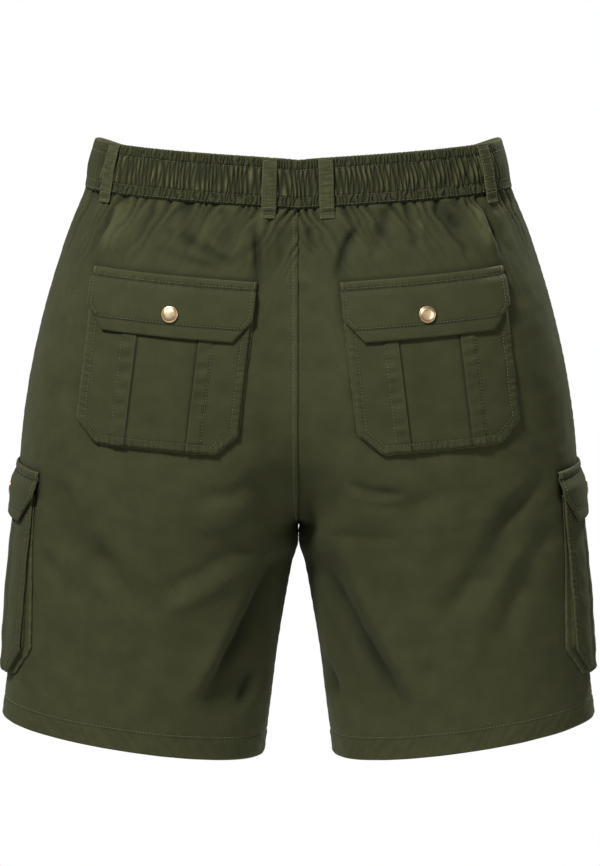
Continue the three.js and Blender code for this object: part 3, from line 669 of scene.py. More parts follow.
def front_band(hand):
    section = band_section(6)
    over = 1 / 7 if hand > 0 else 0.022

    def place(t, number):
        v, through = (np.array(section)[number.astype(int), k] for k in (0, 1))
        level = np.clip(v, 0, 1) * (band_bottom - band_seam)
        share = abs(t)
        on_tab = smooth((0.036 - t) / 0.03 + 0.5) * (hand > 0)
        along = t * 222 + 500 * hand
        soft = 0.25 * uneven(41 + hand, 26, along, v * 12)
        sewn = bump_at(v - 0.12, 0.022) + bump_at(v - 0.9, 0.022)
        pucker = 0.22 * uneven(44 + hand, 7, along + v * 12) * (bump_at(v - 0.06, 0.06) + bump_at(v - 0.95, 0.07))
        over_end = smooth((0.022 - t) / 0.006 + 0.5) * (hand > 0)
        inside = mix(band_inside, band_outside + sheet_gap, over_end)
        outside = mix(band_outside, band_outside + sheet_gap + tab_thickness, on_tab) + soft + pucker - 0.35 * sewn
        round_top = 0.9 * np.exp(-np.clip(v, 0, 1) * band_tall / 1.1)
        out = np.where(through > 0.75, outside - round_top,
                       np.where(through < 0.25, inside + 0.5 * round_top, (inside + outside) / 2))
        points, way_out = np.empty((len(t), 3)), np.empty((len(t), 3))
        for side_hand in (hand, -hand):
            mine = np.where(t < 0, -hand, hand) == side_hand
            points[mine], way_out[mine] = on_cloth("front", side_hand, share[mine], level[mine], out[mine])
        points[:, 2] += np.where(through == 0.5, np.where(v < 0.5, 0.4, -0.1), 0)
        # Lighter with wear at the folded top edge, on the puckers and at the tab's end; painted shade along the stitch
        # rows.
        wear_and_light = (0.7 * np.exp(-np.clip(v, 0, 1) * band_tall / 1.6) - 0.35 * sewn + 0.2 * (pucker > 0.1)
                 + 0.6 * bump_at((t + over) * 222, 1.6) * (hand > 0))
        cloth_uv = np.stack([along, -(v * band_tall + (through < 0.4) * 3)], axis=1)
        return points, way_out * np.where(through < 0.25, -1, 1)[:, None], cloth_uv, wear_and_light, 0.5 + 0 * t

    label = "left" if hand > 0 else "right"
    piece = cloth_grid(f"waistband_front_{label}_cloth", np.linspace(-over, 1, 201 if hand > 0 else 101), np.arange(len(section)), place,
                       closed=True)
    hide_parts(f"waistband_front_{label}")


back_band()
for hand in (1, -1):
    front_band(hand)


# Belt loops
# Six narrow strips folded to three layers, sewn down both edges, and fixed with bar tacks to the band's top and
# below its seam, where a short tail is left.

loop_width, loop_wall = 13, 1.5
loop_lift = np.array([[0, 2.9], [10, 3.4], [22, 3.6], [34, 3.4], [44.8, 3], [48, 0.9], [53, 0.7]])
belt_loops = [
    ("belt_loop_back_left", 1, 25, "back"), ("belt_loop_back_right", -1, 24, "back"),
    ("belt_loop_side_left", 1, 160, "back"), ("belt_loop_side_right", -1, 160, "back"),
    ("belt_loop_front_left", 1, 98, "front"), ("belt_loop_front_right", -1, 98, "front"),
]


def patch_on_loop(hand, x, side):
    """The cloth under a belt loop: across it and down from the band's top."""
    share = np.interp(x, forms[side]["place"][0, :, 0], np.linspace(0, 1, share_count))
    line = from_table(forms[side]["place"], np.full(400, share), np.linspace(0, 4, 400))
    length = np.concatenate([[0], np.cumsum(np.linalg.norm(np.diff(line, axis=0), axis=1))])

    def patch(across, down, out):
        level = np.interp(down, length, np.linspace(0, 4, 400))
        return on_cloth(side, hand, share + across / total_at(side, level), level, out)

    return patch


def loop_out(across, down, seed):
    """The height of a loop's outer face over the cloth."""
    lift = np.interp(down, loop_lift[:, 0], loop_lift[:, 1]) + loop_wall
    edge = loop_width / 2 - abs(across)
    ribs = 0.16 * uneven(seed, 3.4, down, across * 0.2) + 0.12 * uneven(seed + 1, 9, down, across)
    sewn = bump_at(edge - 2.4, 0.7)
    tacks = sum(bump_at(down - at, 1.1) for at in (2.2, 43.5, 50.6))
    return lift + ribs - 0.3 * sewn - 0.55 * np.exp(-edge / 0.6) - 0.45 * np.clip(tacks, 0, 1)


loop_patches = {}
for number, (name, hand, x, side) in enumerate(belt_loops):
    patch = patch_on_loop(hand, x, side)
    loop_patches[name] = patch

    def place(across, down):
        points, way_out = patch(across, down, loop_out(across, down, 50 + 3 * number))
        edge = loop_width / 2 - abs(across)
        # Lighter with wear at the edges and the folded foot, and unevenly; painted shade along the stitch rows.
        wear_and_light = 0.6 * np.exp(-edge / 0.9) + 0.25 * uneven(70 + number, 3.4, down, across * 0.2) + 0.12
        wear_and_light = wear_and_light + 0.5 * bump_at(down - 53, 1.2) - 0.4 * bump_at(edge - 2.4, 0.7)
        return points, way_out, np.stack([across + 40 * number, -down], axis=1), wear_and_light, 0.4 + 0 * down

    piece = cloth_grid(name + "_cloth", np.linspace(-loop_width / 2, loop_width / 2, 15), np.linspace(0, 53, 64), place,
                       wall=loop_wall)
    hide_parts(name)


# Back pockets
# A bellows pocket on each side of the seat: a face with two pleats, a gusset folded in behind its edges, and a
# flap with cut corners. The flap is sewn in a ridge along its top and hangs over the pocket's mouth.

back_pocket = {
    "width": 140, "mouth": 15, "height": 152, "chamfer": 17.5, "chamfer_drop": 17.5, "pull": 0,
    "flap_width": 143, "flap_height": 53.5, "flap_chamfer": 15.7, "flap_drop": 19.5, "snap_drop": 34,
    "pleat_half": 26.2, "pleat_flange": 12.8, "pleat_height": 1.1,
    "stand_off": [[0, 2.1], [152, 3.6]],
    "flap_lift": [[0, 0.8], [6, 1.8], [13, 5.2], [53.5, 6.1]],
    "bellows_inset": 1,
    "bellows_section": [[-6, 0], [3, 0], [3.2, 0.3], [2.6, 0.5], [0, 0.62], [1.2, 0.8], [0.4, 1], [-6, 1]],
    "face_flat": (0.144, 0.141), "flap_flat": (0.143, 0.056), "gusset_flat": (0.40, 0.014),
}
flap_wall = 1.6


def along_pairs(pairs, place):
    pairs = np.array(pairs, float)
    return np.interp(place, pairs[:, 0], pairs[:, 1])


def eased_pairs(pairs, place, reach=2.5):
    """A value from a table of places and values, with its corners rounded."""
    return sum(along_pairs(pairs, place + d * reach) for d in (-1, -0.5, 0, 0.5, 1)) / 5


def locate(side, x, z):
    """The share and level at which the form has this x and z, seen square on."""
    table = forms[side]["place"]
    coarse = table[::16, ::8][:, :, [0, 2]]
    flat = coarse.reshape(-1, 2)
    nearest = np.concatenate([((part[:, None] - flat[None]) ** 2).sum(axis=2).argmin(axis=1)
                              for part in np.array_split(np.stack([x, z], axis=1), 1 + len(x) // 2000)])
    level = (nearest // coarse.shape[1]) * 16 / rows_per_level
    share = (nearest % coarse.shape[1]) * 8 / (share_count - 1)
    for _ in range(12):
        here = from_table(table, share, level)[:, [0, 2]]
        by_share = (from_table(table, share + 0.003, level)[:, [0, 2]] - from_table(table, share - 0.003, level)[:, [0, 2]])
        by_level = (from_table(table, share, level + 0.02)[:, [0, 2]] - from_table(table, share, level - 0.02)[:, [0, 2]])
        by_share, by_level = by_share / 0.006, by_level / 0.04
        miss = np.stack([x, z], axis=1) - here
        size = by_share[:, 0] * by_level[:, 1] - by_share[:, 1] * by_level[:, 0]
        size = np.where(abs(size) < 1e-6, 1e-6, size)
        share = np.clip(share + (miss[:, 0] * by_level[:, 1] - miss[:, 1] * by_level[:, 0]) / size, 0.004, 0.996)
        level = np.clip(level + (by_share[:, 0] * miss[:, 1] - by_share[:, 1] * miss[:, 0]) / size, 0.03, hem_level - 0.03)
    return share, level


def patch_on_back(hand):
    """The cloth under a back pocket: across is towards the side seam, and down is from the flap's top."""
    def patch(across, down, out):
        x = back_pocket_x + across * math.cos(back_pocket_tilt) + down * math.sin(back_pocket_lean)
        z = back_pocket_z + across * math.sin(back_pocket_tilt) - down * math.cos(back_pocket_lean)
        share, level = locate("back", x, z)
        return on_cloth("back", hand, share, level, out)

    return patch


def narrowing(down, height, chamfer, drop):
    return chamfer * np.clip((down - height + drop) / drop, 0, 1)


def drawn_in(pocket, down):
    """The share of its width that a pocket's face keeps where the gusset pulls it in."""
    return 1 - pocket["pull"] * np.clip((down - pocket["flap_height"]) / (pocket["height"] - pocket["flap_height"]), 0, 1)


def face_height(pocket, across, down, seed):
    """The height of a pocket face's outside over the panel, with its wear, painted highlight and painted shade, and its
    puckers.
    """
    edge = from_outline(across, down, pocket["width"] / 2, pocket["height"], pocket["chamfer"], pocket["chamfer_drop"])
    pleat, flange = pocket["pleat_half"], pocket["pleat_half"] + pocket["pleat_flange"]
    a = abs(across)
    strip = smooth((a - pleat) / 0.7) * smooth((flange + 1.5 - a) / 2.5)
    out = eased_pairs(pocket["stand_off"], down, 8) + twill_wall + pocket["pleat_height"] * strip
    out -= 0.35 * bump_at(a - pleat + 0.6, 1.0) + 0.45 * bump_at(a - flange, 0.8) * (down < pocket["height"] - 3)
    on_strip = smooth((a - pleat - 1) / 3) * smooth((flange + 3 - a) / 3)
    out += 0.4 * uneven(seed + 1, 8, down, across * 0.25) * on_strip
    margin = smooth((9 - edge) / 4)
    by_side = smooth((pocket["height"] - down - 14) / 8)
    pucker = mix(uneven(seed + 2, 5, across + down * 0.2), uneven(seed + 3, 5, down + a * 0.25), by_side)
    out += margin * 0.38 * pucker - 0.45 * bump_at(edge - 6.5, 0.9)
    out -= 0.9 * (1 - smooth(edge / 1.6))
    free = smooth((down - pocket["flap_height"] - 4) / 12)
    out += free * (0.5 * uneven(seed + 4, 46, across, down) + 0.22 * uneven(seed + 5, 18, across, down))
    # Lighter with wear at the edges and pleat folds; painted highlight on puckers and strips; painted shade in the
    # pleats' fold lines, along the stitch rows and flange, and a little over the whole face.
    wear_and_light = (0.5 * np.exp(-edge / 0.8) + 0.2 * margin * pucker + 0.25 * bump_at(a - pleat - 1.2, 0.7)
             - 1.3 * bump_at(a - pleat + 0.2, 0.7) - 0.4 * bump_at(edge - 6.5, 0.8) - 0.3 * bump_at(a - flange, 0.8)
             + 0.2 * on_strip * uneven(seed + 1, 8, down, across * 0.25) - 0.14)
    return out, wear_and_light, np.maximum(margin, 0.8 * on_strip)


def flap_height_at(pocket, across, down, seed):
    """The height of a flap's outside over the panel, with its wear, painted highlight and painted shade, and its
    puckers.
    """
    half, tall = pocket["flap_width"] / 2, pocket["flap_height"]
    edge = from_outline(across, down, half, tall, pocket["flap_chamfer"], pocket["flap_drop"])
    a = abs(across)
    out = eased_pairs(pocket["flap_lift"], down, 1.5) + flap_wall
    out += 0.7 * smooth(down / 1.2) * smooth((6.4 - down) / 1.6) - 0.9 * np.exp(-down / 0.7)
    out -= 0.9 * bump_at(down - 7.4, 1.1)
    gathers = uneven(seed + 1, 4.5, across, down * 0.3) * smooth((14 - down) / 6) * smooth((down - 2) / 4)
    out += 0.35 * gathers
    sewn = bump_at(edge - 4, 0.8) * smooth((tall - 12 - down) / 2 + 0.5) + bump_at(tall - 12 - down, 0.9)
    out -= 0.32 * sewn - 0.3 * smooth((9.5 - (tall - down)) / 2)
    out += 0.22 * uneven(seed + 2, 8, down + a * 0.3) * smooth((7 - (half - a)) / 4)
    out -= 0.9 * (1 - smooth(edge / 1.5))
    out += 0.45 * uneven(seed + 3, 60, across, down) * smooth((down - 8) / 10)
    reach = np.hypot(across, down - pocket["snap_drop"])
    out -= 0.25 * smooth((15 - reach) / 6) * smooth((reach - 7) / 2)
    # Lighter with wear at the edges and the top fold; painted highlight on the gathers' tops and painted shade in their
    # hollows, along the stitch rows, in the hollow under the top ridge, and a little over the whole flap.
    wear_and_light = (0.45 * np.exp(-edge / 0.8) + 0.3 * gathers + 0.35 * bump_at(down - 1.0, 0.9) - 0.3 * sewn - 1.2 * bump_at(down - 7.9, 0.9)
             - 1.2 * bump_at(tall - 11 - down, 0.6) - 0.14)
    return out, wear_and_light, np.maximum(smooth((9 - edge) / 5), smooth((12 - down) / 5))


def pocket_face(name, node, pocket, patch, seed, across_step, down_step):
    half, pleat = pocket["width"] / 2, pocket["pleat_half"]
    flange = pleat + pocket["pleat_flange"]

    def lines(a, b):
        return max(2, int(round((b - a) / across_step)))

    right = steps((0, 0), (pleat - 1.2, lines(0, pleat - 1.2)), (pleat + 1.2, 6), (flange - 1.5, lines(pleat, flange)),
                  (flange + 1.5, 4), (half - 9, lines(flange, half - 9)), (half, 8))
    across = np.concatenate([-right[:0:-1], right])
    straight = pocket["height"] - pocket["chamfer_drop"]
    down = steps((pocket["mouth"], 0), (straight, int((straight - pocket["mouth"]) / down_step)),
                 (pocket["height"] - 3, 13), (pocket["height"], 5))

    def place(line, y):
        x = line * (half - narrowing(y, pocket["height"], pocket["chamfer"], pocket["chamfer_drop"])) / half
        out, wear_and_light, puckered = face_height(pocket, x, y, seed)
        points, way_out = patch(x * drawn_in(pocket, y), y, out)
        return points, way_out, np.stack([x + 3 * seed, -y], axis=1), wear_and_light, puckered

    piece = cloth_grid(name, across, down, place)
    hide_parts(node)
    return piece


def pocket_flap(name, node, pocket, patch, seed, across_count):
    half, tall = pocket["flap_width"] / 2, pocket["flap_height"]
    right = steps((0, 0), (half - 7, across_count), (half, 7))
    across = np.concatenate([-right[:0:-1], right])
    down = steps((0, 0), (2, 3), (10, 7), (tall - pocket["flap_drop"], 13), (tall - 12.6, 5), (tall - 10, 6),
                 (tall - 3, 5), (tall, 4))

    def place(line, y):
        x = line * (half - narrowing(y, tall, pocket["flap_chamfer"], pocket["flap_drop"])) / half
        out, wear_and_light, puckered = flap_height_at(pocket, x, y, seed)
        points, way_out = patch(x, y, out)
        return points, way_out, np.stack([x + 5 * seed, -y + 300], axis=1), wear_and_light, puckered

    piece = cloth_grid(name, across, down, place, wall=flap_wall)
    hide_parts(node)
    return piece


def outline_path(pocket, step):
    """Places along the gusset's seam, down one side of the pocket, round its foot and up the other."""
    half = pocket["width"] / 2 - pocket["bellows_inset"]
    bottom = pocket["height"] - pocket["bellows_inset"]
    right = [(half, pocket["mouth"] + 4), (half, bottom - pocket["chamfer_drop"]), (half - pocket["chamfer"], bottom)]
    corners = np.array(right + [(-x, y) for x, y in reversed(right)], float)
    length = np.concatenate([[0], np.cumsum(np.linalg.norm(np.diff(corners, axis=0), axis=1))])
    at = np.linspace(0, length[-1], int(length[-1] / step) + 1)
    path = np.stack([np.interp(at, length, corners[:, k]) for k in (0, 1)], axis=1)
    spread = np.array([np.interp(at + d, length, corners[:, k]) for d in (-3, 0, 3) for k in (0, 1)])
    path = np.stack([spread[k::2].mean(axis=0) for k in (0, 1)], axis=1)
    turn = np.gradient(path, axis=0)
    facing = np.stack([turn[:, 1], -turn[:, 0]], axis=1)
    return at, path, facing / np.linalg.norm(facing, axis=1, keepdims=True)


def pocket_gusset(name, node, pocket, patch, seed):
    at, path, facing = outline_path(pocket, 2.6)
    corners = np.array(pocket["bellows_section"] + [pocket["bellows_section"][0]], float)
    lengths = np.concatenate([[0], np.cumsum(np.linalg.norm(np.diff(corners * (1, 6), axis=0), axis=1))])
    turns = np.linspace(0, lengths[-1], 29)

    def place(number, turn):
        k = number.astype(int)
        w = np.interp(turn, lengths, corners[:, 0])
        h = np.interp(turn, lengths, corners[:, 1])
        crimp = 0.45 * uneven(seed, 8, at[k], h * 5)
        w = w + crimp * smooth((w + 4) / 4)
        x = path[k, 0] * mix(1, drawn_in(pocket, path[k, 1]), h) + w * facing[k, 0]
        y = path[k, 1] + w * facing[k, 1]
        room = along_pairs(pocket["stand_off"], y) - 1.6 * sheet_gap
        points, way_out = patch(x, y, mix(sheet_gap, room, h))
        # Lighter with wear on the folded outer edge; painted shade on the part tucked in under the face.
        wear_and_light = 0.5 * smooth((w - 1.5) / 1.5) * (0.6 + 0.4 * uneven(seed + 1, 8, at[k])) - 0.4 * smooth((0.5 - w) / 3)
        return points, way_out, np.stack([at[k], turn + 7 * seed], axis=1), wear_and_light, 0.9 + 0 * w

    piece = cloth_grid(name, np.arange(len(at)), turns, place, closed=True)
    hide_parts(node)
    return piece


back_patches = {hand: patch_on_back(hand) for hand in (1, -1)}
for hand, label in ((1, "left"), (-1, "right")):
    patch = back_patches[hand]
    pocket_gusset(f"back_pocket_gusset_{label}", f"back_pocket_bellows_{label}", back_pocket, patch, 80 + hand)
    pocket_face(f"back_pocket_face_{label}", f"back_pocket_{label}", back_pocket, patch, 84 + 2 * hand, 1.75, 1.6)
    pocket_flap(f"back_pocket_flap_cloth_{label}", f"back_pocket_flap_{label}", back_pocket, patch, 90 + hand, 40)


# Cargo pockets
# Larger pockets of the same make over the side seams, mostly in front of them. Their gussets are folded twice and
# let the foot of the pocket stand away from the leg.

cargo_pocket = {
    "width": 156, "mouth": 17, "height": 190, "chamfer": 24, "chamfer_drop": 25, "pull": 0.14,
    "flap_width": 168, "flap_height": 49, "flap_chamfer": 22, "flap_drop": 27, "snap_drop": 29,
    "pleat_half": 30, "pleat_flange": 13, "pleat_height": 0.9,
    "stand_off": [[0, 2.1], [45, 2.3], [110, 5.4], [145, 6.2], [190, 5.7]],
    "flap_lift": [[0, 0.7], [7, 1.4], [17, 5.2], [28, 5.8], [49, 6.4]],
    "bellows_inset": 3,
    "bellows_section": [
        [-8, 0], [4, 0], [4, 0.28], [1, 0.32], [-1.4, 0.5], [1, 0.68], [1, 1], [-8, 1],
        [-8, 0.74], [-1, 0.7], [-3.2, 0.5], [-1, 0.3], [-8, 0.26],
    ],
    "face_flat": (0.158, 0.178), "flap_flat": (0.168, 0.051), "gusset_flat": (0.51, 0.026),
}


def patch_on_side(hand):
    """The cloth over a side seam: across is towards the back, and down is from the flap's top."""
    def patch(across, down, out):
        level = np.interp(down + cargo_pocket_start, side_length, side_level)
        place = across - cargo_pocket_forward
        points, way_out = np.empty((len(level), 3)), np.empty((len(level), 3))
        for side, mine in (("back", place > 0), ("front", place <= 0)):
            share = 1 - abs(place[mine]) / total_at(side, level[mine])
            out_here = out[mine] if hasattr(out, "__len__") else np.full(mine.sum(), float(out))
            points[mine], way_out[mine] = on_cloth(side, hand, share, level[mine], out_here)
        return points, way_out

    return patch


cargo_patches = {hand: patch_on_side(hand) for hand in (1, -1)}
for hand, label in ((1, "left"), (-1, "right")):
    patch = cargo_patches[hand]
    pocket_gusset(f"cargo_pocket_gusset_{label}", f"cargo_pocket_bellows_{label}", cargo_pocket, patch, 110 + hand)
    pocket_face(f"cargo_pocket_face_{label}", f"cargo_pocket_{label}", cargo_pocket, patch, 114 + 2 * hand, 1.95, 1.8)
    pocket_flap(f"cargo_pocket_flap_cloth_{label}", f"cargo_pocket_flap_{label}", cargo_pocket, patch, 120 + hand, 40)


# Snaps
# The pressed caps of five press snaps, one on each flap and one on the tab: thin brass sheet with a smooth domed
# face, turned over in a rim. Brass that is only lacquered keeps a pale gold shine, duller in the groove, and the
# rim's outer side is painted darker as painted shade.

snap_radius = 7.5
snap_profile = [(0, 2.2), (2.6, 2.16), (4.6, 2.0), (5.6, 1.75), (6.0, 1.52), (6.3, 1.5), (6.7, 1.62), (7.1, 1.5),
                (7.4, 1.15), (7.5, 0.7), (7.3, 0.3), (6.6, 0.02), (0, 0)]

brass = bpy.data.materials.new("lacquered_brass")
brass.use_nodes = True
brass.node_tree.nodes.clear()
brass_place = add_node(brass, "ShaderNodeTexCoord").outputs["Object"]
# Handling leaves blurs about 3 mm across on the lacquer
blurs = add_node(brass, "ShaderNodeTexNoise", None, Vector=brass_place, Scale=330.0, Detail=3.0).outputs["Fac"]
# Darker and browner in the groove, where the brass is dulled, and on the rim's outer side, where it is painted shade.
brass_dulling_and_shade = add_node(brass, "ShaderNodeAttribute", {"attribute_name": "rim_dulling_and_shade"}).outputs["Fac"]
brass_colour = add_node(brass, "ShaderNodeMix", {"data_type": "RGBA"}, _0=brass_dulling_and_shade, _6=srgb("#f2d9b0"), _7=srgb("#a67c4a"))
brass_rough = add_node(brass, "ShaderNodeMapRange", None, Value=blurs, To_Min=0.24, To_Max=0.42)
brass_shader = add_node(brass, "ShaderNodeBsdfPrincipled", None, Base_Color=brass_colour.outputs[2],
                        Roughness=brass_rough.outputs[0], Metallic=1.0)
add_node(brass, "ShaderNodeOutputMaterial", None, Surface=brass_shader.outputs[0])


def snap(name, node, patch, down, height):
    """A cap, square to the cloth under it."""
    spots = np.array([[0, down], [snap_radius, down], [-snap_radius, down], [0, down + snap_radius],
                      [0, down - snap_radius]])
    places = np.array([patch(spots[k:k + 1, 0], spots[k:k + 1, 1], np.array([height(spots[k, 1])]))[0][0]
                       for k in range(5)])
    outward = patch(spots[:1, 0], spots[:1, 1], np.array([height(down) + 5]))[0][0] - places[0]
    axis = Vector(np.cross(places[1] - places[2], places[3] - places[4])).normalized()
    if axis.dot(Vector(outward)) < 0:
        axis.negate()
    bm = bmesh.new()
    line = [bm.verts.new((r, 0, h)) for r, h in snap_profile]
    edges = [bm.edges.new(pair) for pair in zip(line, line[1:])]
    bmesh.ops.spin(bm, geom=line + edges, cent=(0, 0, 0), axis=(0, 0, 1), angle=2 * math.pi, steps=36,
                   use_merge=True)
    bmesh.ops.remove_doubles(bm, verts=bm.verts, dist=1e-4)
    bmesh.ops.recalc_face_normals(bm, faces=bm.faces)
    mesh = bpy.data.meshes.new(name)
    bm.to_mesh(mesh)
    bm.free()
    radius = np.array([math.hypot(v.co.x, v.co.y) for v in mesh.vertices])
    # The mask for the dull groove and for painted shade on the rim's outer side.
    rim_dulling_and_shade = np.clip(bump_at(radius - 6.1, 0.5) + 0.6 * smooth((radius - 6.9) / 0.5), 0, 1)
    mesh.attributes.new("rim_dulling_and_shade", "FLOAT", "POINT").data.foreach_set("value", rim_dulling_and_shade.astype(np.float32))
    turned = Vector((0, 0, 1)).rotation_difference(axis).to_matrix().to_4x4()
    mesh.transform(Matrix.Scale(0.001, 4) @ Matrix.Translation(Vector(places[0]) + axis * seam_gap) @ turned)
    piece = make_object(name, mesh, brass)
    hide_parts(node)


for hand, label in ((1, "left"), (-1, "right")):
    for kind, pocket, patches in (("back_pocket", back_pocket, back_patches), ("cargo_pocket", cargo_pocket, cargo_patches)):
        snap(f"{kind}_snap_cap_{label}", f"{kind}_snap_{label}", patches[hand], pocket["snap_drop"],
             lambda down: float(along_pairs(pocket["flap_lift"], down)) + flap_wall)


def patch_on_tab(across, down, out):
    share, level = locate("front", 13 + across, -32 - down)
    return on_cloth("front", -1, share, level, out)


snap("waist_snap_cap", "waist_snap", patch_on_tab, 0, lambda down: band_outside + sheet_gap + tab_thickness)


# Stitching
# Lockstitch in thick olive thread, a little lighter than the cloth: 3 mm stitches in single rows along the seams,
# edges, pleats and hem, and close bar tacks where a loop or a flap's corner is fixed.

stitch_pitch, thread_radius = 3.0, 0.32

thread = bpy.data.materials.new("polyester_thread")
thread.use_nodes = True
thread.node_tree.nodes.clear()
thread_place = add_node(thread, "ShaderNodeTexCoord").outputs["Object"]
# Batches of thread take the dye differently, in patches about 20 mm long
thread_dye = add_node(thread, "ShaderNodeTexNoise", None, Vector=thread_place, Scale=50.0, Detail=2.0).outputs["Fac"]
thread_colour = add_node(thread, "ShaderNodeMix", {"data_type": "RGBA"}, _0=thread_dye, _6=srgb("#4a4c34"),
                         _7=srgb("#64664a"))
thread_shader = add_node(thread, "ShaderNodeBsdfPrincipled", None, Base_Color=thread_colour.outputs[2], Roughness=0.6,
                         IOR=1.5)
add_node(thread, "ShaderNodeOutputMaterial", None, Surface=thread_shader.outputs[0])


def stitch_rows(name, rows):
    """Stitches along rows of places, each row given as points and the way out of the cloth there."""
    whole = bmesh.new()
    for points, way_out, pitch, length in rows:
        reach = np.concatenate([[0], np.cumsum(np.linalg.norm(np.diff(points, axis=0), axis=1))])
        row = bmesh.new()
        for at in np.arange(pitch / 2, reach[-1] - pitch / 3, pitch):
            here, ahead, up = (np.array([np.interp(at + d, reach, values[:, k]) for k in range(3)])
                               for d, values in ((0, points), (0.5, points), (0, way_out)))
            run = Vector(ahead - here).normalized()
            up = Vector(up).normalized()
            side = up.cross(run).normalized()
            up = run.cross(side)
            turned = Matrix((run, side, up)).transposed().to_4x4()
            size = Matrix.Diagonal((length / 2, thread_radius, thread_radius, 1))
            centre = Matrix.Translation(Vector(here) + up * thread_radius * 0.45)
            bmesh.ops.create_icosphere(row, subdivisions=1, radius=1, matrix=centre @ turned @ size)
        part = bpy.data.meshes.new("row")
        row.to_mesh(part)
        row.free()
        whole.from_mesh(part)
        bpy.data.meshes.remove(part)
    mesh = bpy.data.meshes.new(name)
    whole.to_mesh(mesh)
    whole.free()
    mesh.transform(Matrix.Scale(0.001, 4))
    return make_object(name, mesh, thread)


def row_on_panel(side, hand, share_of, level_from, level_to, count=300):
    """A row of stitches down a panel; share_of gives its place at each level."""
    level = np.linspace(level_from, level_to, count)
    share = share_of(level)
    smooth_place = from_table(forms[side]["place"], share, level)
    out = panel_relief(side, hand, share, level, smooth_place[:, 0], smooth_place[:, 2])[0]
    return (*on_cloth(side, hand, share, level, out), stitch_pitch, 2.3)


def hem_row(side, hand):
    level = np.full(400, np.interp(side_length[-1] - 18, side_length, side_level))
    share = np.linspace(0.01, 0.99, 400)
    smooth_place = from_table(forms[side]["place"], share, level)
    out = panel_relief(side, hand, share, level, smooth_place[:, 0], smooth_place[:, 2])[0]
    return (*on_cloth(side, hand, share, level, out), stitch_pitch, 2.3)


def fly_curve(level):
    """The J of stitching beside the front opening, as a share of the panel's width."""
    return (36 * np.sqrt(1 - np.clip((level - 6) / 1.6, 0, 1) ** 2.4) + 4.6) / total_at("front", level)


crotch_level = 10.2
cargo_top_level = np.interp(cargo_pocket_start - 3, side_length, side_level)
cargo_foot_level = np.interp(cargo_pocket_start + 194, side_length, side_level)
for hand, label in ((1, "left"), (-1, "right")):
    rows = [row_on_panel("back", hand, lambda v: 1 - 4.6 / total_at("back", v), panel_top + 0.1, cargo_top_level)]
    rows += [row_on_panel("back", hand, lambda v: 1 - 4.6 / total_at("back", v), cargo_foot_level, hem_level - 0.05)]
    rows += [row_on_panel("back", hand, lambda v: 4.6 / total_at("back", v), crotch_level + 0.4, hem_level - 0.05)]
    rows += [hem_row("back", hand), hem_row("front", hand)]
    if hand > 0:
        rows += [row_on_panel("back", 1, lambda v: 4.6 / total_at("back", v), panel_top + 0.1, crotch_level, 500)]
        rows += [row_on_panel("front", 1, lambda v: 4.6 / total_at("front", v), panel_top + 0.1, crotch_level, 500)]
        rows += [row_on_panel("front", 1, fly_curve, panel_top + 0.1, 7.6, 500)]
    stitch_rows(f"panel_stitching_{label}", rows)


def band_row(v, side, start, end, outside):
    t = np.linspace(start, end, 900)
    level = np.full(900, v * (band_bottom - band_seam))
    points, way_out = np.empty((900, 3)), np.empty((900, 3))
    for hand in (1, -1):
        mine = (t >= 0) == (hand > 0)
        points[mine], way_out[mine] = on_cloth(side, hand, abs(t[mine]), level[mine], outside(t[mine], v))
    return points, way_out, stitch_pitch * 0.9, 2.1


def back_outside(t, v):
    fade = smooth((gather_end - abs(t)) * 12)
    fade = fade + 0.25 * (1 - fade) * (t > 0)
    v = np.full(len(t), v)
    return band_outside + gathered_height(t * 236, v) * fade + (1 - fade) * (0.2 + 0.25 * uneven(38, 22, t * 236, v * 9))


def front_outside(t, v):
    on_tab = (abs(t + 0.05) < 0.09) * smooth((0.036 - t) / 0.03 + 0.5)
    return band_outside - 0.1 + on_tab * (sheet_gap + tab_thickness)


rows = [band_row(0.2, "back", -0.98, 0.98, back_outside), band_row(0.78, "back", -0.98, 0.98, back_outside),
        band_row(0.955, "back", -0.98, 0.98, back_outside)]
for v in (0.12, 0.9):
    rows += [band_row(v, "front", -0.97, -0.15, front_outside), band_row(v, "front", -0.135, 0.97, front_outside)]
stitch_rows("waistband_stitching", rows)

rows = []
for number, (name, hand, x, side) in enumerate(belt_loops):
    for across in (-4.1, 4.1):
        down = np.linspace(1, 52, 120)
        rows.append((*loop_patches[name](np.full(120, across), down, loop_out(np.full(120, across), down, 50 + 3 * number)),
                     2.6, 2.0))
    for down in (2.2, 43.5, 50.6):
        tack = np.linspace(-5.6, 5.6, 30)
        low = loop_out(tack, np.full(30, down), 50 + 3 * number)
        rows.append((*loop_patches[name](tack, np.full(30, down), low), 0.9, 1.3))
stitch_rows("belt_loop_stitching", rows)


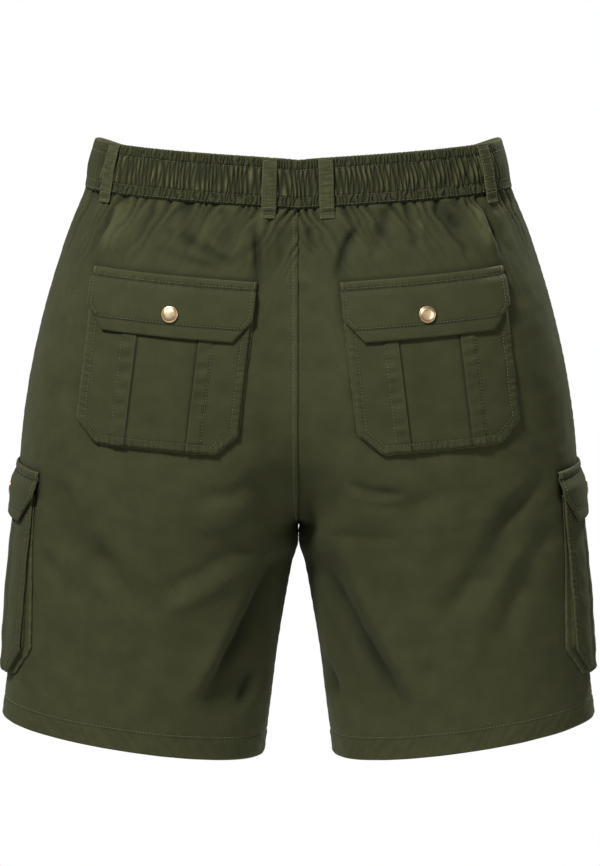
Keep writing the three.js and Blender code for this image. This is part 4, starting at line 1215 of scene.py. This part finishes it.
def pocket_rows(pocket, patch, face_seed, flap_seed):
    """The rows of stitching on a pocket's face and flap."""
    half, tall = pocket["width"] / 2 - 6.5, pocket["height"] - 6.5
    cut, drop = pocket["chamfer"] - 2.7, pocket["chamfer_drop"] - 2.7
    under = pocket["flap_height"] - 8
    lines = [([(-half, under), (-half, tall - drop), (-half + cut, tall), (half - cut, tall), (half, tall - drop),
               (half, under)], face_height, face_seed)]
    flange = pocket["pleat_half"] + pocket["pleat_flange"]
    for hand in (-1, 1):
        lines.append(([(hand * flange, under), (hand * flange, pocket["height"] - 7)], face_height, face_seed))
    half, tall = pocket["flap_width"] / 2, pocket["flap_height"]
    inner, turn = half - 4, tall - pocket["flap_drop"] - 1
    slope = pocket["flap_chamfer"] / pocket["flap_drop"]
    reach = inner - slope * (tall - 12 - turn)
    lines.append(([(-half + 1.5, 6.6), (half - 1.5, 6.6)], flap_height_at, flap_seed))
    lines.append(([(-inner, 7.5), (-inner, turn), (-reach, tall - 12)], flap_height_at, flap_seed))
    lines.append(([(inner, 7.5), (inner, turn), (reach, tall - 12)], flap_height_at, flap_seed))
    lines.append(([(-reach, tall - 12), (reach, tall - 12)], flap_height_at, flap_seed))
    rows = []
    for corners, height_of, seed in lines:
        corners = np.array(corners, float)
        length = np.concatenate([[0], np.cumsum(np.linalg.norm(np.diff(corners, axis=0), axis=1))])
        at = np.linspace(0, length[-1], int(length[-1] / 1.2) + 2)
        x, y = (np.interp(at, length, corners[:, k]) for k in (0, 1))
        held = drawn_in(pocket, y) if height_of is face_height else 1
        rows.append((*patch(x * held, y, height_of(pocket, x, y, seed)[0]), stitch_pitch, 2.3))
    for hand in (-1, 1):
        down = np.linspace(0.8, 7, 20)
        across = np.full(20, hand * (half - 2.2))
        rows.append((*patch(across, down, flap_height_at(pocket, across, down, flap_seed)[0]), 0.9, 1.3))
    return rows


for hand, label in ((1, "left"), (-1, "right")):
    stitch_rows(f"back_pocket_stitching_{label}", pocket_rows(back_pocket, back_patches[hand], 84 + 2 * hand, 90 + hand))
    stitch_rows(f"cargo_pocket_stitching_{label}", pocket_rows(cargo_pocket, cargo_patches[hand], 114 + 2 * hand, 120 + hand))


# Studio
# A pale round floor well below the hems, a white surround, and for the back and the front alike one large soft
# light high on the left and a weak one low on the right. The camera looks at the back from the photo's angle.

floor_mesh = bpy.data.meshes.new("studio_floor")
bm = bmesh.new()
bmesh.ops.create_circle(bm, cap_ends=True, radius=1.5, segments=96)
bmesh.ops.translate(bm, verts=bm.verts, vec=(0, 0, -1.05))
bm.to_mesh(floor_mesh)
bm.free()
floor = bpy.data.objects.new("studio_floor", floor_mesh)
bpy.context.scene.collection.objects.link(floor)
floor_paint = bpy.data.materials.new("matt_grey_paint")
floor_paint.use_nodes = True
floor_paint.node_tree.nodes["Principled BSDF"].inputs["Base Color"].default_value = srgb("#c4c4c2")
floor_paint.node_tree.nodes["Principled BSDF"].inputs["Roughness"].default_value = 0.9
floor_mesh.materials.append(floor_paint)

surround = bpy.data.worlds.new("studio_surround")
bpy.context.scene.world = surround
surround.use_nodes = True
sky = surround.node_tree.nodes["Background"]
sky.inputs["Color"].default_value = (1, 1, 1, 1)
seen = add_node(surround, "ShaderNodeLightPath").outputs["Is Camera Ray"]
strength = add_node(surround, "ShaderNodeMapRange", None, Value=seen, To_Min=0.16, To_Max=1.0)
surround.node_tree.links.new(strength.outputs[0], sky.inputs["Strength"])


def soft_light(name, place, size, power):
    light = bpy.data.lights.new(name, "AREA")
    light.shape, light.size, light.energy = "DISK", size, power
    lamp = bpy.data.objects.new(name, light)
    bpy.context.scene.collection.objects.link(lamp)
    lamp.location = place
    lamp.rotation_euler = (Vector((0, 0, -0.25)) - Vector(place)).to_track_quat("-Z", "Y").to_euler()


for name, turn in (("back", 1), ("front", -1)):
    soft_light(f"key_light_{name}", (turn * 1.4, turn * 2.1, 2.5), 0.6, 188)
    soft_light(f"fill_light_{name}", (turn * -2.4, turn * 2.6, 0.5), 1.4, 30)

camera_target = Vector((-0.00135, 0, -0.244))
camera_tilt = math.radians(9)
camera_distance = 5.0
camera = bpy.data.objects.new("camera", bpy.data.cameras.new("camera"))
bpy.context.scene.collection.objects.link(camera)
camera.location = camera_target + camera_distance * Vector((0, math.cos(camera_tilt), math.sin(camera_tilt)))
camera.rotation_euler = (camera_target - camera.location).to_track_quat("-Z", "Y").to_euler()
camera.data.sensor_width = 36
camera.data.lens = 36 * camera_distance / (0.0009 * 866)
camera.data.clip_end = 100
bpy.context.scene.camera = camera
bpy.context.scene.view_settings.view_transform = "Standard"
